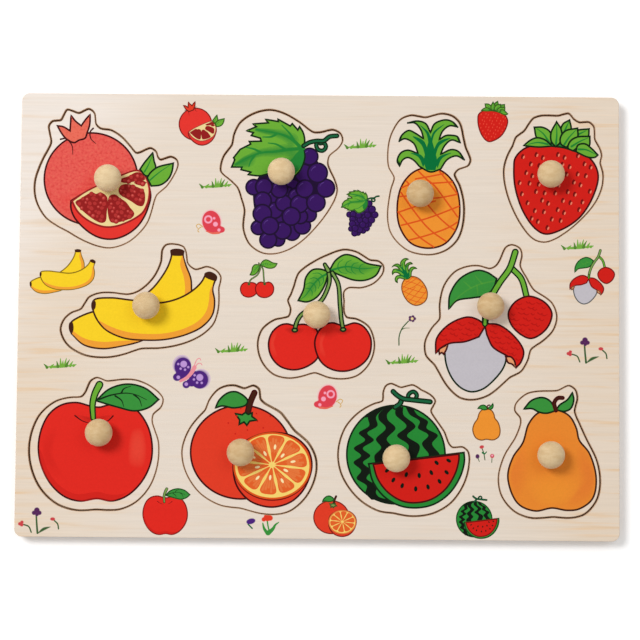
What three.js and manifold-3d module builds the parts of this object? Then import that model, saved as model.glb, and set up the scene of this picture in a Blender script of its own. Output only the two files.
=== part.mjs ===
// Wooden peg puzzle for small children: a printed plywood sheet with eleven fruit shapes cut out
// of it, glued on a plain plywood back. Each fruit lifts out of its recess by a turned wooden
// knob, which one countersunk wood screw holds from under the fruit.
// Millimetres, +Z up. The origin is under the middle of the board, on the surface it lies on.
import * as THREE from "three";
import { mergeVertices } from "three/addons/utils/BufferGeometryUtils.js";
import Module from "manifold-3d";

// Board
const BACK_THICKNESS = 3;
const SHEET_THICKNESS = 5;
const LEFT_RIM = 6.35;
const RIGHT_RIM = 7.8;
const TOP_RIM = 7.25;
const BOTTOM_RIM = 10.95;
const CORNER_RADIUS = 4.5;

// Gap between a fruit and its recess, on each side, when the fruit lies in the middle of it
const PIECE_CLEARANCE = 0.5;

// Knob: a ball, a little flattened, on a short straight foot
const KNOB_DIAMETER = 13.6;
const KNOB_HEIGHT = 13;
const KNOB_FOOT_DIAMETER = 8.4;
const KNOB_FOOT_HEIGHT = 2;

// Countersunk screw with a cross drive, its head a little below the fruit's underside
const SCREW_DIAMETER = 2.8;
const SCREW_TIP = 2;
const SCREW_HEAD_DIAMETER = 5.6;
const SCREW_HEAD_RIM = 0.3;
const SCREW_HEAD_CONE = 1.5;
const SCREW_SINK = 0.4;
const SCREW_CLEARANCE = 0.25;
const WOOD_OVER_SCREW = 5;
const DRIVE_MARGIN = 1.2;
const DRIVE_WIDTH = 0.8;
const DRIVE_DEPTH = 0.9;

// Counts of steps along curves
const STEPS_PER_POINT = 2;
const CORNER_STEPS = 5;
const KNOB_SIDES = 16;
const UNDER_BALL_STEPS = 3;
const OVER_BALL_STEPS = 4;
const SCREW_SIDES = 12;

// Each fruit has the place of its knob and a cut line, a smooth closed curve through a few points.
// Both are measured on the board's face from its middle, x to the right and y away from the child.
// lean is how far the fruit has slid off the middle of its recess, as a share of the clearance.
const FRUITS = [
  {
    name: "pomegranate",
    colour: 0xe5453f,
    knob: [-105.9, 67.6],
    lean: [0.3, -0.5],
    cutLine: [
      [-130.5, 97.6], [-127.4, 102.8], [-121.5, 101.2], [-116.6, 103.3], [-113.6, 101],
      [-112.8, 95.8], [-110.3, 93.4], [-105.4, 92.7], [-99.5, 89], [-94.7, 83.7],
      [-92.2, 81.2], [-88.3, 82.6], [-85.2, 83.7], [-82.3, 81.7], [-81.6, 79.5],
      [-80.2, 77.9], [-75.2, 79.4], [-72, 77.8], [-71.4, 75], [-73.6, 69.6],
      [-77.4, 64], [-81.8, 60], [-83.4, 55.5], [-86.4, 46], [-95, 36.7],
      [-105.4, 33.2], [-116.6, 36.1], [-126, 41.2], [-136.8, 47.8], [-142.4, 57.5],
      [-142.8, 67.5], [-138.6, 79], [-135.2, 86.3], [-136.5, 94.3], [-134.5, 97],
    ],
  },
  {
    name: "grape",
    colour: 0x3b1a5e,
    knob: [-19.4, 71.6],
    lean: [0.2, -0.5],
    cutLine: [
      [-25.1, 103.5], [-17, 101.2], [-9, 96.3], [-3.5, 92.4], [1.5, 92.7],
      [6, 93.7], [10, 91.8], [11.1, 88], [8.5, 83.9], [4.6, 80.5],
      [3.9, 76], [6.8, 69.5], [8.6, 63], [5.7, 55.1], [-2.3, 44],
      [-11.2, 35.6], [-20, 31.4], [-28.2, 31.2], [-35.2, 35.9], [-38.3, 44.3],
      [-37.7, 52.5], [-39.3, 58.5], [-41.4, 64.2], [-46.2, 68.8], [-49.8, 72.3],
      [-48.4, 80], [-44.4, 85.7], [-43.5, 90.5], [-40.3, 97], [-33.4, 101.7],
    ],
  },
  {
    name: "pineapple",
    colour: 0xf0942f,
    knob: [50.2, 61],
    lean: [-0.5, -0.3],
    cutLine: [
      [41.5, 99.9], [46.1, 101.3], [52.9, 100.3], [60.5, 102.2], [66.5, 101],
      [70.2, 97.3], [71.8, 91], [73.2, 85], [75.5, 79], [74.2, 75.9],
      [69.8, 74.2], [67.6, 71.5], [69.9, 66.5], [72.1, 58], [72, 47.5],
      [69.5, 39.3], [64.6, 34.1], [59, 31.6], [53.4, 31], [45.1, 32.7],
      [38.8, 37.5], [35.2, 43.2], [34.1, 52], [35.9, 64.6], [37.3, 69.6],
      [34.7, 74.5], [34, 79], [34.5, 87], [36, 92.2], [39.2, 97.9],
    ],
  },
  {
    name: "strawberry",
    colour: 0xd61f1e,
    knob: [115, 71.3],
    lean: [0.1, -0.4],
    cutLine: [
      [106.7, 100.1], [111.5, 101.7], [119.5, 101.7], [124.6, 102.8], [127.1, 100.1],
      [130, 98.4], [134.7, 98.5], [137.3, 96], [137.7, 90], [140.2, 85.2],
      [141.1, 81.5], [140.4, 78], [141.7, 73], [141.3, 66], [137.8, 57.8],
      [130.6, 49.2], [121.4, 41.6], [113.5, 37.9], [107.7, 38.9], [102.8, 43.6],
      [96.8, 53.9], [93, 65], [92.1, 74.5], [94.1, 81.7], [96.5, 86.3],
      [98.2, 90.6], [102.2, 93.8],
    ],
  },
  {
    name: "banana",
    colour: 0xf6d02e,
    knob: [-85.9, 3.8],
    lean: [0.3, 0.1],
    cutLine: [
      [-76.8, 34.8], [-72.5, 35.2], [-68, 33.8], [-66.5, 30], [-65.8, 25.7],
      [-61.8, 22.6], [-56.5, 24], [-51.8, 22.3], [-49.2, 18.8], [-50.1, 13.4],
      [-50.1, 5], [-52.6, -4.5], [-60, -11.2], [-70.5, -15.4], [-80.3, -17],
      [-88.5, -17.3], [-96, -19.8], [-104, -21.6], [-113.5, -21.4], [-120, -19.3],
      [-126, -14.8], [-128.9, -8], [-127, -2.6], [-123.3, 0.6], [-118.9, 2.4],
      [-115, 8.2], [-109, 10.5], [-102, 10.5], [-95.4, 9.9], [-89.5, 12],
      [-82.8, 18.6], [-79.2, 26.5], [-78.7, 32],
    ],
  },
  {
    name: "cherry",
    colour: 0xdd2a22,
    knob: [-1.1, 0],
    lean: [0.1, -0.2],
    cutLine: [
      [12.4, 33.2], [5, 30.9], [-3.5, 26.6], [-10.3, 21.2], [-12.5, 15],
      [-14.1, 10.5], [-15.5, 7.4], [-14.2, 3.6], [-15.2, -0.4], [-21.7, -2.1],
      [-28.2, -7], [-30.4, -14.5], [-28.3, -23], [-22.3, -29.5], [-14.1, -31.3],
      [-7, -30], [-1.7, -28.6], [4.2, -30.6], [11.2, -31.5], [19.2, -29.8],
      [25.4, -23.5], [27.8, -14.5], [25, -5.5], [18.3, -1.4], [14, -0.7],
      [12.6, 2], [12.5, 7.5], [12.4, 12], [14.9, 14.1], [20.5, 14.1],
      [27, 16.3], [31.6, 21.3], [32, 25.2], [29.4, 27.6], [25.4, 28.1],
      [19, 31.9],
    ],
  },
  {
    name: "lychee",
    colour: 0xc3bcc6,
    knob: [85.1, 4.8],
    lean: [0.1, 0.2],
    cutLine: [
      [96, 36.2], [100.3, 34.3], [101.2, 30.5], [100.4, 25.8], [103.4, 20],
      [107.2, 13.7], [111, 11.2], [116.2, 7.2], [118.7, 0.3], [116.5, -7],
      [110.8, -12.5], [105.8, -16.2], [104.4, -21], [100.8, -27.2], [95.5, -30.1],
      [91, -34.2], [84.9, -39], [77.5, -41.4], [70.4, -40.4], [64, -34.5],
      [60.1, -28.1], [57.6, -24], [53.6, -19.6], [53.1, -12.5], [57, -5],
      [60.2, -1.2], [60.2, 5.3], [62.2, 15], [68, 22.6], [75.4, 25.4],
      [80.5, 25.4], [85.3, 24.2], [88.6, 26], [91, 30.4], [93, 34.7],
    ],
  },
  {
    name: "apple",
    colour: 0xe02b24,
    knob: [-108.5, -59.4],
    lean: [0.5, 0.2],
    cutLine: [
      [-110.2, -31.9], [-105.6, -33.5], [-98.5, -32.8], [-91, -33], [-83, -36.4],
      [-77.4, -42], [-78.5, -46.6], [-82, -49.8], [-82.5, -54], [-79.5, -63],
      [-79.5, -74], [-83.2, -85.4], [-90.2, -93.5], [-98.8, -97.3], [-110, -97.4],
      [-119, -97.8], [-128.8, -95], [-137.5, -87.3], [-142.6, -76], [-143.4, -64],
      [-139, -51.2], [-130.4, -43.7], [-122.5, -41.8], [-118, -41.4], [-115.8, -38.6],
      [-113.6, -33.7],
    ],
  },
  {
    name: "orange",
    colour: 0xe2452c,
    knob: [-37.9, -68.3],
    lean: [-0.4, -0.4],
    cutLine: [
      [-45.3, -35.3], [-41, -35.2], [-36.6, -36.5], [-32.3, -35.1], [-29.3, -37],
      [-28.6, -41.6], [-26, -44.2], [-18.6, -48.4], [-11.5, -57.3], [-4.9, -63],
      [-0.8, -71], [-1, -80], [-5.5, -90], [-13.4, -97.1], [-21, -98.9],
      [-29, -98.3], [-38, -96], [-47.5, -94.7], [-58, -88.8], [-65.4, -78.1],
      [-67.3, -67], [-63.4, -56.3], [-58.4, -50], [-56, -47.3], [-54.2, -42.7],
      [-50, -37.4],
    ],
  },
  {
    name: "watermelon",
    colour: 0x2f8a3a,
    knob: [38.8, -70.8],
    lean: [0, 0.1],
    cutLine: [
      [36.4, -33.7], [41.1, -35.5], [47, -34.3], [51.3, -36.7], [55.8, -39.1],
      [58.3, -42.3], [56.2, -47], [58, -50.5], [62.9, -57.6], [64.9, -62.8],
      [67, -65.1], [71.8, -64.9], [74.7, -67.3], [75.2, -73.2], [72.8, -82.8],
      [66.2, -92.6], [56.5, -98.1], [46, -99.3], [37.5, -97.9], [30.5, -96.9],
      [20.5, -91], [12.3, -79.8], [10.1, -68], [13.6, -55.7], [21, -47.6],
      [28.3, -43.6], [32, -42.3], [32.3, -38.5], [33.6, -34.9],
    ],
  },
  {
    name: "pear",
    colour: 0xe9882f,
    knob: [115.3, -68.6],
    lean: [-0.3, 0.2],
    cutLine: [
      [124.8, -34], [128.1, -36.2], [129, -40.7], [127.7, -46.6], [129.9, -52.5],
      [134.3, -62], [138.5, -70.6], [140.3, -80.5], [138.7, -90.3], [132.5, -97.7],
      [124.8, -99.6], [117, -99.2], [106.7, -99.8], [98, -96.7], [91.4, -88.8],
      [89.9, -79], [93.3, -68], [97.8, -60.8], [100.8, -53], [100.5, -50],
      [98, -46.8], [98.6, -43], [104.4, -38], [112, -36.8], [119, -36.5],
      [122, -35.1],
    ],
  },
];

const printedWood = () =>
  new THREE.MeshStandardMaterial({ color: 0xe6d6c2, roughness: 0.55, metalness: 0 });
const plainWood = () =>
  new THREE.MeshStandardMaterial({ color: 0xdcc49c, roughness: 0.7, metalness: 0 });
const turnedWood = () =>
  new THREE.MeshStandardMaterial({ color: 0xd9bf90, roughness: 0.5, metalness: 0 });
const zincSteel = () =>
  new THREE.MeshStandardMaterial({ color: 0xb9bcc0, roughness: 0.35, metalness: 1 });
const fruitPrint = (colour) =>
  new THREE.MeshStandardMaterial({ color: colour, roughness: 0.45, metalness: 0 });

const wasm = await Module();
wasm.setup();

// A closed geometry as a solid that can be cut.
function solidOf(geometry) {
  const bare = geometry.clone();
  bare.deleteAttribute("normal");
  bare.deleteAttribute("uv");
  const merged = mergeVertices(bare);
  return new wasm.Manifold(
    new wasm.Mesh({
      numProp: 3,
      vertProperties: merged.attributes.position.array,
      triVerts: new Uint32Array(merged.index.array),
    }),
  );
}

// A geometry with each of the tools cut out of it.
function cutBy(geometry, tools) {
  const left = tools.reduce((solid, tool) => solid.subtract(solidOf(tool)), solidOf(geometry));
  const { vertProperties, triVerts } = left.getMesh();
  const made = new THREE.BufferGeometry();
  made.setAttribute("position", new THREE.BufferAttribute(vertProperties, 3));
  made.setIndex(new THREE.BufferAttribute(triVerts, 1));
  made.computeVertexNormals();
  return made;
}

// A turned solid about Z, from its profile of [radius, height] points.
function turned(profile, sides) {
  const points = profile.map(([radius, height]) => new THREE.Vector2(radius, height));
  return new THREE.LatheGeometry(points, sides).rotateX(Math.PI / 2);
}

// A flat sheet from z = 0 up.
function sheet(shape, thickness) {
  return new THREE.ExtrudeGeometry(shape, {
    depth: thickness,
    bevelEnabled: false,
    steps: 1,
    curveSegments: CORNER_STEPS,
  });
}

// The cut line's points on the board's face, anticlockwise.
function cutLinePoints({ cutLine }) {
  const through = cutLine.map(([x, y]) => new THREE.Vector3(x, y, 0));
  const curve = new THREE.CatmullRomCurve3(through, true, "centripetal");
  const round = curve.getPoints(cutLine.length * STEPS_PER_POINT).slice(0, -1);
  const points = round.map(({ x, y }) => new THREE.Vector2(x, y));
  return THREE.ShapeUtils.isClockWise(points) ? points.reverse() : points;
}

// The same line moved outwards by a distance, or inwards by a negative one.
function movedOut(points, distance) {
  return points.map((point, i) => {
    const before = points.at(i - 1);
    const after = points[(i + 1) % points.length];
    const along = after.clone().sub(before).normalize();
    return new THREE.Vector2(point.x + along.y * distance, point.y - along.x * distance);
  });
}

// The recesses, and the board's edges around them
const lines = FRUITS.map(cutLinePoints);
const recesses = lines.map((points) => movedOut(points, PIECE_CLEARANCE / 2));
const cutArea = new THREE.Box2().setFromPoints(recesses.flat());
const board = {
  left: cutArea.min.x - LEFT_RIM,
  right: cutArea.max.x + RIGHT_RIM,
  bottom: cutArea.min.y - BOTTOM_RIM,
  top: cutArea.max.y + TOP_RIM,
};
const boardMiddle = new THREE.Vector2(
  (board.left + board.right) / 2,
  (board.bottom + board.top) / 2,
);

// The board's outline with its round corners.
function boardShape() {
  const { left, right, bottom, top } = board;
  const r = CORNER_RADIUS;
  const quarter = Math.PI / 2;
  return new THREE.Shape()
    .absarc(right - r, top - r, r, 0, quarter, false)
    .absarc(left + r, top - r, r, quarter, 2 * quarter, false)
    .absarc(left + r, bottom + r, r, 2 * quarter, 3 * quarter, false)
    .absarc(right - r, bottom + r, r, 3 * quarter, 4 * quarter, false);
}

// The printed sheet with its recesses, from z = 0 up.
function topPanel() {
  const shape = boardShape();
  shape.holes = recesses.map((points) => new THREE.Path(points));
  return sheet(shape, SHEET_THICKNESS);
}

// Heights of the screw, from its head's face
const headTop = SCREW_HEAD_RIM + SCREW_HEAD_CONE;
const screwBite = KNOB_HEIGHT - WOOD_OVER_SCREW;
const screwLength = SHEET_THICKNESS - SCREW_SINK + screwBite;

// The screw with its head's face at z = 0 and its tip up.
function screw() {
  const head = SCREW_HEAD_DIAMETER / 2;
  const shank = SCREW_DIAMETER / 2;
  const profile = [
    [0, 0],
    [head, 0],
    [head, SCREW_HEAD_RIM],
    [shank, headTop],
    [shank, screwLength - SCREW_TIP],
    [0, screwLength],
  ];
  const driveLength = SCREW_HEAD_DIAMETER - 2 * DRIVE_MARGIN;
  const slots = [0, Math.PI / 2].map((angle) =>
    new THREE.BoxGeometry(driveLength, DRIVE_WIDTH, 2 * DRIVE_DEPTH).rotateZ(angle),
  );
  return cutBy(turned(profile, SCREW_SIDES), slots);
}

// The screw's way through a fruit: a hole with a countersink that is open below.
function screwHole() {
  const head = SCREW_HEAD_DIAMETER / 2 + SCREW_CLEARANCE;
  const shank = SCREW_DIAMETER / 2 + SCREW_CLEARANCE;
  const past = SHEET_THICKNESS;
  return turned(
    [
      [0, -past],
      [head, -past],
      [head, SCREW_SINK + SCREW_HEAD_RIM + SCREW_CLEARANCE],
      [shank, SCREW_SINK + headTop + SCREW_CLEARANCE],
      [shank, SHEET_THICKNESS + past],
      [0, SHEET_THICKNESS + past],
    ],
    SCREW_SIDES,
  );
}

// A fruit cut from the sheet, with its knob's place at the origin.
function fruitPiece(points, [knobX, knobY]) {
  const edge = movedOut(points, -PIECE_CLEARANCE / 2);
  const middle = new THREE.Vector2(knobX, knobY);
  const shape = new THREE.Shape(edge.map((point) => point.clone().sub(middle)));
  return cutBy(sheet(shape, SHEET_THICKNESS), [screwHole()]);
}

// A knob that stands on z = 0, with the hole for its screw.
function knob() {
  const ball = KNOB_DIAMETER / 2;
  const foot = KNOB_FOOT_DIAMETER / 2;
  const hole = SCREW_DIAMETER / 2 + SCREW_CLEARANCE;
  const holeDepth = screwBite + SCREW_CLEARANCE;
  const start = Math.asin(foot / ball);
  const halfHeight = (KNOB_HEIGHT - KNOB_FOOT_HEIGHT) / (1 + Math.cos(start));
  const profile = [
    [0, holeDepth],
    [hole, holeDepth],
    [hole, 0],
    [foot, 0],
  ];
  const addStretch = (from, to, steps) => {
    for (let i = 0; i < steps; i++) {
      const angle = from + ((to - from) * i) / steps;
      const height = KNOB_HEIGHT - halfHeight * (1 + Math.cos(angle));
      profile.push([ball * Math.sin(angle), height]);
    }
  };
  addStretch(start, Math.PI / 2, UNDER_BALL_STEPS);
  addStretch(Math.PI / 2, Math.PI, OVER_BALL_STEPS);
  profile.push([0, KNOB_HEIGHT]);
  return turned(profile, KNOB_SIDES);
}

function named(name, geometry, material, z = 0) {
  const mesh = new THREE.Mesh(geometry, material);
  mesh.name = name;
  mesh.position.z = z;
  return mesh;
}

const puzzle = new THREE.Group();
puzzle.position.set(-boardMiddle.x, -boardMiddle.y, 0);
puzzle.add(
  named("back_panel", sheet(boardShape(), BACK_THICKNESS), plainWood()),
  named("top_panel", topPanel(), printedWood(), BACK_THICKNESS),
);

FRUITS.forEach((fruit, i) => {
  const { name, colour, lean } = fruit;
  const lifted = new THREE.Group();
  lifted.position.set(
    fruit.knob[0] + lean[0] * PIECE_CLEARANCE,
    fruit.knob[1] + lean[1] * PIECE_CLEARANCE,
    BACK_THICKNESS,
  );
  lifted.add(
    named(`${name}_piece`, fruitPiece(lines[i], fruit.knob), fruitPrint(colour)),
    named(`${name}_knob`, knob(), turnedWood(), SHEET_THICKNESS),
    named(`${name}_screw`, screw(), zincSteel(), SCREW_SINK),
  );
  puzzle.add(lifted);
});

export default puzzle;
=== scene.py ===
"""Looks of a wooden peg puzzle with printed fruits, built round its CAD frame."""

import math

import bpy
import numpy as np
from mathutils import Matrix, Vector
from mathutils.geometry import delaunay_2d_cdt


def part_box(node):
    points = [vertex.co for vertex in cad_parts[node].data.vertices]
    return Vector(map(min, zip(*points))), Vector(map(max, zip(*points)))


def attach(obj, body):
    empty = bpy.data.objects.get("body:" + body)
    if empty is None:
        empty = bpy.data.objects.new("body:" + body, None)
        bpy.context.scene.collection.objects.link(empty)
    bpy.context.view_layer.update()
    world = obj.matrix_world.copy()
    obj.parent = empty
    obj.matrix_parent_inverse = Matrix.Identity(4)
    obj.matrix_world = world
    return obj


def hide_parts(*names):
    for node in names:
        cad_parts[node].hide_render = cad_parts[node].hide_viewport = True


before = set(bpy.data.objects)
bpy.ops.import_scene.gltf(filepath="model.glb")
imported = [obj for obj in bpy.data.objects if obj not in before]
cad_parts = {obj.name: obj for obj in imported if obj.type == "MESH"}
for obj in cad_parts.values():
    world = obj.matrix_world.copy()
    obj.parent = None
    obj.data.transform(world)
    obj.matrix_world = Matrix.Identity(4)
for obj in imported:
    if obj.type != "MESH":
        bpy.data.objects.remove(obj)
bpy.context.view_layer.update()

bl_info = {
    "name": "Wooden Peg Puzzle",
    "version": (1, 0, 0),
    "blender": (4, 5, 0),
    "location": "View3D > Sidebar > Puzzle",
    "description": "Builds a printed wooden peg puzzle with lift-out fruits",
    "category": "Object",
}

MM = 0.001
FRUITS = (
    "pomegranate", "grape", "pineapple", "strawberry", "banana", "cherry", "lychee", "apple", "orange",
    "watermelon", "pear",
)


def linear(red, green, blue):
    """A colour written in 0 to 255 steps, as the linear light that Blender's sockets take."""
    steps = [part / 255 for part in (red, green, blue)]
    return tuple(s / 12.92 if s <= 0.04045 else ((s + 0.055) / 1.055) ** 2.4 for s in steps)


# Sizes and colours that a user may change


def length_setting(name, description, millimetres):
    """A length in the sidebar."""
    return bpy.props.FloatProperty(
        name=name, description=description, default=millimetres * MM, min=0, unit="LENGTH"
    )


def colour_setting(name, description, red, green, blue):
    """A colour in the sidebar."""
    return bpy.props.FloatVectorProperty(
        name=name,
        description=description,
        default=linear(red, green, blue),
        min=0,
        max=1,
        size=3,
        subtype="COLOR",
    )


class PuzzleSizes(bpy.types.PropertyGroup):
    """Small sizes of the visible wood and print."""

    edge_round: length_setting("Edge round", "Rounding of the printed face's cut edges", 0.3)
    back_round: length_setting("Back round", "Rounding of the back's lower edges", 0.6)
    ink_line: length_setting("Ink line", "Width of the dark line round a printed fruit", 0.9)
    corner_round: length_setting("Corner round", "Rounding of the board's four corners", 3.8)
    ply: length_setting("Ply", "Thickness of one veneer in the plywood", 1.0)


class PuzzleColours(bpy.types.PropertyGroup):
    """Colours of the bare wood and metal."""

    board: colour_setting("Board", "Printed wood of the sheet", 232, 219, 205)
    board_warm: colour_setting("Warm board", "Warmer stretches of the sheet's wood", 231, 212, 190)
    # Paler corner colour: partly the wood's own tone, partly painted light on the key lamp's side
    board_pale_and_lit: colour_setting("Pale board", "Paler stretch of the sheet's wood", 241, 231, 222)
    fruit_wood: colour_setting("Fruit wood", "Bare border of the fruits", 233, 219, 206)
    streak: colour_setting("Streak", "Warmer streaks in the sheet's grain", 232, 202, 168)
    back: colour_setting("Back", "Bare plywood of the back", 214, 186, 146)
    burnt: colour_setting("Cut edge", "Wood browned by the cutting beam", 160, 112, 78)
    knob: colour_setting("Knob", "Turned pale wood of the knobs", 232, 206, 162)
    knob_grain: colour_setting("Knob grain", "Warmer grain of the knobs", 201, 166, 116)
    zinc: colour_setting("Zinc", "Bright plate of the screws", 196, 199, 203)


class PrintInks(bpy.types.PropertyGroup):
    """Inks of the printed fruits, leaves, flowers and butterflies."""

    line: colour_setting("Line", "Dark line round the fruits", 66, 6, 8)
    leaf_line: colour_setting("Leaf line", "Near black green line round leaves", 10, 34, 12)
    leaf: colour_setting("Leaf", "Fresh green of leaves and grass", 106, 172, 52)
    leaf_mid: colour_setting("Leaf shade", "Veins and shade on fresh leaves", 34, 130, 50)
    leaf_deep: colour_setting("Deep leaf", "Fuller green of broad leaves", 56, 144, 58)
    leaf_vein: colour_setting("Leaf vein", "Dark green of crowns and thin stalks", 0, 110, 54)
    tendril: colour_setting("Tendril", "Blue green of vines and tendrils", 22, 98, 60)
    stem_brown: colour_setting("Stem brown", "Brown of woody stems and caps", 62, 28, 14)
    stem_olive: colour_setting("Olive stem", "Olive of the cherry stems", 122, 158, 78)
    coral: colour_setting("Coral", "Coral red of the pomegranate's skin", 228, 88, 80)
    crown: colour_setting("Crown", "Orange red of the pomegranate's crown", 232, 108, 88)
    rind_red: colour_setting("Rind red", "Bright red of the pomegranate's rind", 228, 52, 44)
    cream: colour_setting("Cream", "Pith of the cut pomegranate", 236, 214, 150)
    seed_red: colour_setting("Seed red", "Deep red of the pomegranate's seeds", 146, 26, 26)
    seed_ripe: colour_setting("Ripe seed", "Fuller red of the pomegranate's seeds", 178, 48, 46)
    seed_pink: colour_setting("Seed pink", "Light on the pomegranate's seeds", 232, 112, 102)
    seed_dark: colour_setting("Dark seed", "Dark side of the strawberry's seeds", 122, 12, 10)
    seed_light: colour_setting("Light seed", "Light side of the strawberry's seeds", 236, 128, 100)
    grape: colour_setting("Grape", "Purple of the grapes", 54, 18, 92)
    grape_line: colour_setting("Grape line", "Dark line round the grapes", 28, 8, 46)
    grape_light: colour_setting("Grape light", "Lilac light on the grapes", 84, 54, 128)
    pineapple: colour_setting("Pineapple", "Orange yellow of the pineapple", 240, 148, 48)
    lattice: colour_setting("Lattice", "Red brown net on the pineapple", 222, 84, 26)
    berry: colour_setting("Berry", "Red of cherry and apple", 225, 40, 30)
    berry_deep: colour_setting("Deep berry", "Shaded side of the red fruits", 196, 26, 20)
    berry_light: colour_setting("Light berry", "Light on the red fruits", 232, 70, 52)
    ripe: colour_setting("Ripe red", "Deeper red of strawberry, lychee and melon", 210, 30, 22)
    scale_red: colour_setting("Scale red", "Marks on the lychee's skin", 170, 14, 12)
    peel_tip: colour_setting("Peel tip", "Inside of the lychee's peel", 230, 158, 110)
    flesh: colour_setting("Flesh", "Pale flesh of the peeled lychee", 196, 191, 197)
    banana: colour_setting("Banana", "Yellow of the bananas", 249, 209, 36)
    banana_shade: colour_setting("Banana shade", "Orange underside of the bananas", 241, 160, 52)
    orange: colour_setting("Orange", "Red orange of the orange's skin", 226, 60, 36)
    pith: colour_setting("Pith", "Yellow pith of the cut orange", 248, 214, 114)
    pip: colour_setting("Pip", "Pale pips of the cut orange", 252, 232, 176)
    pulp: colour_setting("Pulp", "Juicy wedges of the cut orange", 228, 98, 40)
    pulp_light: colour_setting("Light pulp", "Light streaks in the wedges", 236, 142, 78)
    melon: colour_setting("Melon", "Green of the watermelon's rind", 38, 136, 52)
    black: colour_setting("Black", "Stripes and seeds of the watermelon", 10, 20, 10)
    pear: colour_setting("Pear", "Golden orange of the pear", 234, 137, 47)
    pear_shade: colour_setting("Pear shade", "Fuller orange of the pear's sides", 226, 116, 46)
    pink: colour_setting("Pink", "Pink of flowers and butterflies", 222, 64, 78)
    blush: colour_setting("Blush", "Pale spots on pink wings", 250, 166, 190)
    ochre: colour_setting("Ochre", "Feelers of the pink butterflies", 214, 170, 96)
    violet: colour_setting("Violet", "Violet of flowers and butterflies", 76, 34, 122)
    plum: colour_setting("Plum", "Dull violet of the taller flowers", 84, 38, 88)
    flower_stem: colour_setting("Flower stem", "Dark olive of the flower stems", 62, 94, 52)
    poppy: colour_setting("Poppy", "Dull red of the small flowers", 204, 68, 72)
    lilac: colour_setting("Lilac", "Spots on violet wings", 190, 150, 214)
    rose: colour_setting("Rose", "Body of the violet butterfly", 236, 146, 156)
    grass: colour_setting("Grass", "Yellow green of the grass", 116, 172, 62)
    grass_deep: colour_setting("Deep grass", "Darker blades of the grass", 84, 132, 46)


# Curves and outlines, in millimetres on the board's face

TIP = True
CURVE_STEP = 0.8
FEWEST_SIDES = 14  # of a small disc
MICRONS = 1000  # in a millimetre


def rolled(points):
    """Each point's follower round a closed loop."""
    return np.roll(points, -1, axis=0)


def rounded_stretch(before, start, end, after, step):
    """Points of a rounded stretch from start up to, and without, end."""
    knots = [0.0]
    for near, far in ((before, start), (start, end), (end, after)):
        knots.append(knots[-1] + max(np.linalg.norm(far - near), 1e-6) ** 0.5)
    count = max(2, int(math.ceil(np.linalg.norm(end - start) / step)))
    places = np.linspace(knots[1], knots[2], count, endpoint=False)[:, None]

    def between(a, b, low, high):
        return ((high - places) * a + (places - low) * b) / (high - low)

    first = between(before, start, knots[0], knots[1])
    second = between(start, end, knots[1], knots[2])
    third = between(end, after, knots[2], knots[3])
    left = between(first, second, knots[0], knots[2])
    right = between(second, third, knots[1], knots[3])
    return between(left, right, knots[1], knots[2])


def smooth_run(points, step):
    """A rounded open line through points, both ends included."""
    points = [np.array(p[:2], float) for p in points]
    padded = [2 * points[0] - points[1], *points, 2 * points[-1] - points[-2]]
    runs = [rounded_stretch(*padded[i : i + 4], step) for i in range(len(points) - 1)]
    return np.vstack([*runs, points[-1:]])


def smooth_loop(points, step=CURVE_STEP):
    """A rounded closed line through points; a point marked TIP stays a sharp corner."""
    tips = [i for i, p in enumerate(points) if len(p) > 2]
    if not tips:
        ring = [np.array(p[:2], float) for p in points]
        count = len(ring)
        around = [[ring[(i + k) % count] for k in (-1, 0, 1, 2)] for i in range(count)]
        return np.vstack([rounded_stretch(*four, step) for four in around])
    turned = list(points[tips[0] :]) + list(points[: tips[0] + 1])
    corners = [i for i, p in enumerate(turned) if len(p) > 2]
    runs = []
    for first, last in zip(corners, corners[1:]):
        runs.append(smooth_run(turned[first : last + 1], step)[:-1])
    return np.vstack(runs)


def signed_area(loop):
    """Area of a closed loop, above zero when it runs anticlockwise."""
    x, y = loop.T
    return 0.5 * float(np.sum(x * np.roll(y, -1) - np.roll(x, -1) * y))


def anticlockwise(loop):
    """The loop, turned round if it runs clockwise."""
    return loop if signed_area(loop) > 0 else loop[::-1]


def inward(loop):
    """For each point of a loop, the step that moves both its sides left by one millimetre."""
    ahead = rolled(loop) - loop
    ahead /= np.maximum(np.linalg.norm(ahead, axis=1, keepdims=True), 1e-9)
    left = np.column_stack([-ahead[:, 1], ahead[:, 0]])
    both = left + np.roll(left, 1, axis=0)
    size = np.maximum(np.sum(both * both, axis=1, keepdims=True), 1.0)
    return 2 * both / size


def disc_loop(centre, radius_x, radius_y, turn=0.0, step=CURVE_STEP):
    """An ellipse; turn is in degrees."""
    count = max(FEWEST_SIDES, int(2 * math.pi * max(radius_x, radius_y) / step))
    angle = np.arange(count) * 2 * math.pi / count
    along = radius_x * np.cos(angle)
    across = radius_y * np.sin(angle)
    turn = math.radians(turn)
    x = centre[0] + along * math.cos(turn) - across * math.sin(turn)
    y = centre[1] + along * math.sin(turn) + across * math.cos(turn)
    return np.column_stack([x, y])


def brush_loop(points, width, end_width, step=CURVE_STEP):
    """The outline of a brush line through points, with round ends."""
    line = smooth_run(points, step)
    ahead = np.gradient(line, axis=0)
    ahead /= np.maximum(np.linalg.norm(ahead, axis=1, keepdims=True), 1e-9)
    left = np.column_stack([-ahead[:, 1], ahead[:, 0]])
    half = np.linspace(width / 2, end_width / 2, len(line))[:, None]
    turns = np.radians([60, 30, 0, -30, -60])[:, None]
    end_cap = line[-1] + half[-1] * (ahead[-1] * np.cos(turns) + left[-1] * np.sin(turns))
    start_cap = line[0] - half[0] * (ahead[0] * np.cos(turns) + left[0] * np.sin(turns))
    return np.vstack([line + left * half, end_cap, (line - left * half)[::-1], start_cap])[::-1]


def wave_loop(points, width, end_width):
    """The outline of a wavy upright band, which may widen towards its end."""
    line = smooth_run(points, CURVE_STEP)
    half = np.linspace(width / 2, end_width / 2, len(line))
    aside = np.column_stack([half, np.zeros(len(line))])
    return np.vstack([line - aside, (line + aside)[::-1]])


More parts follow.
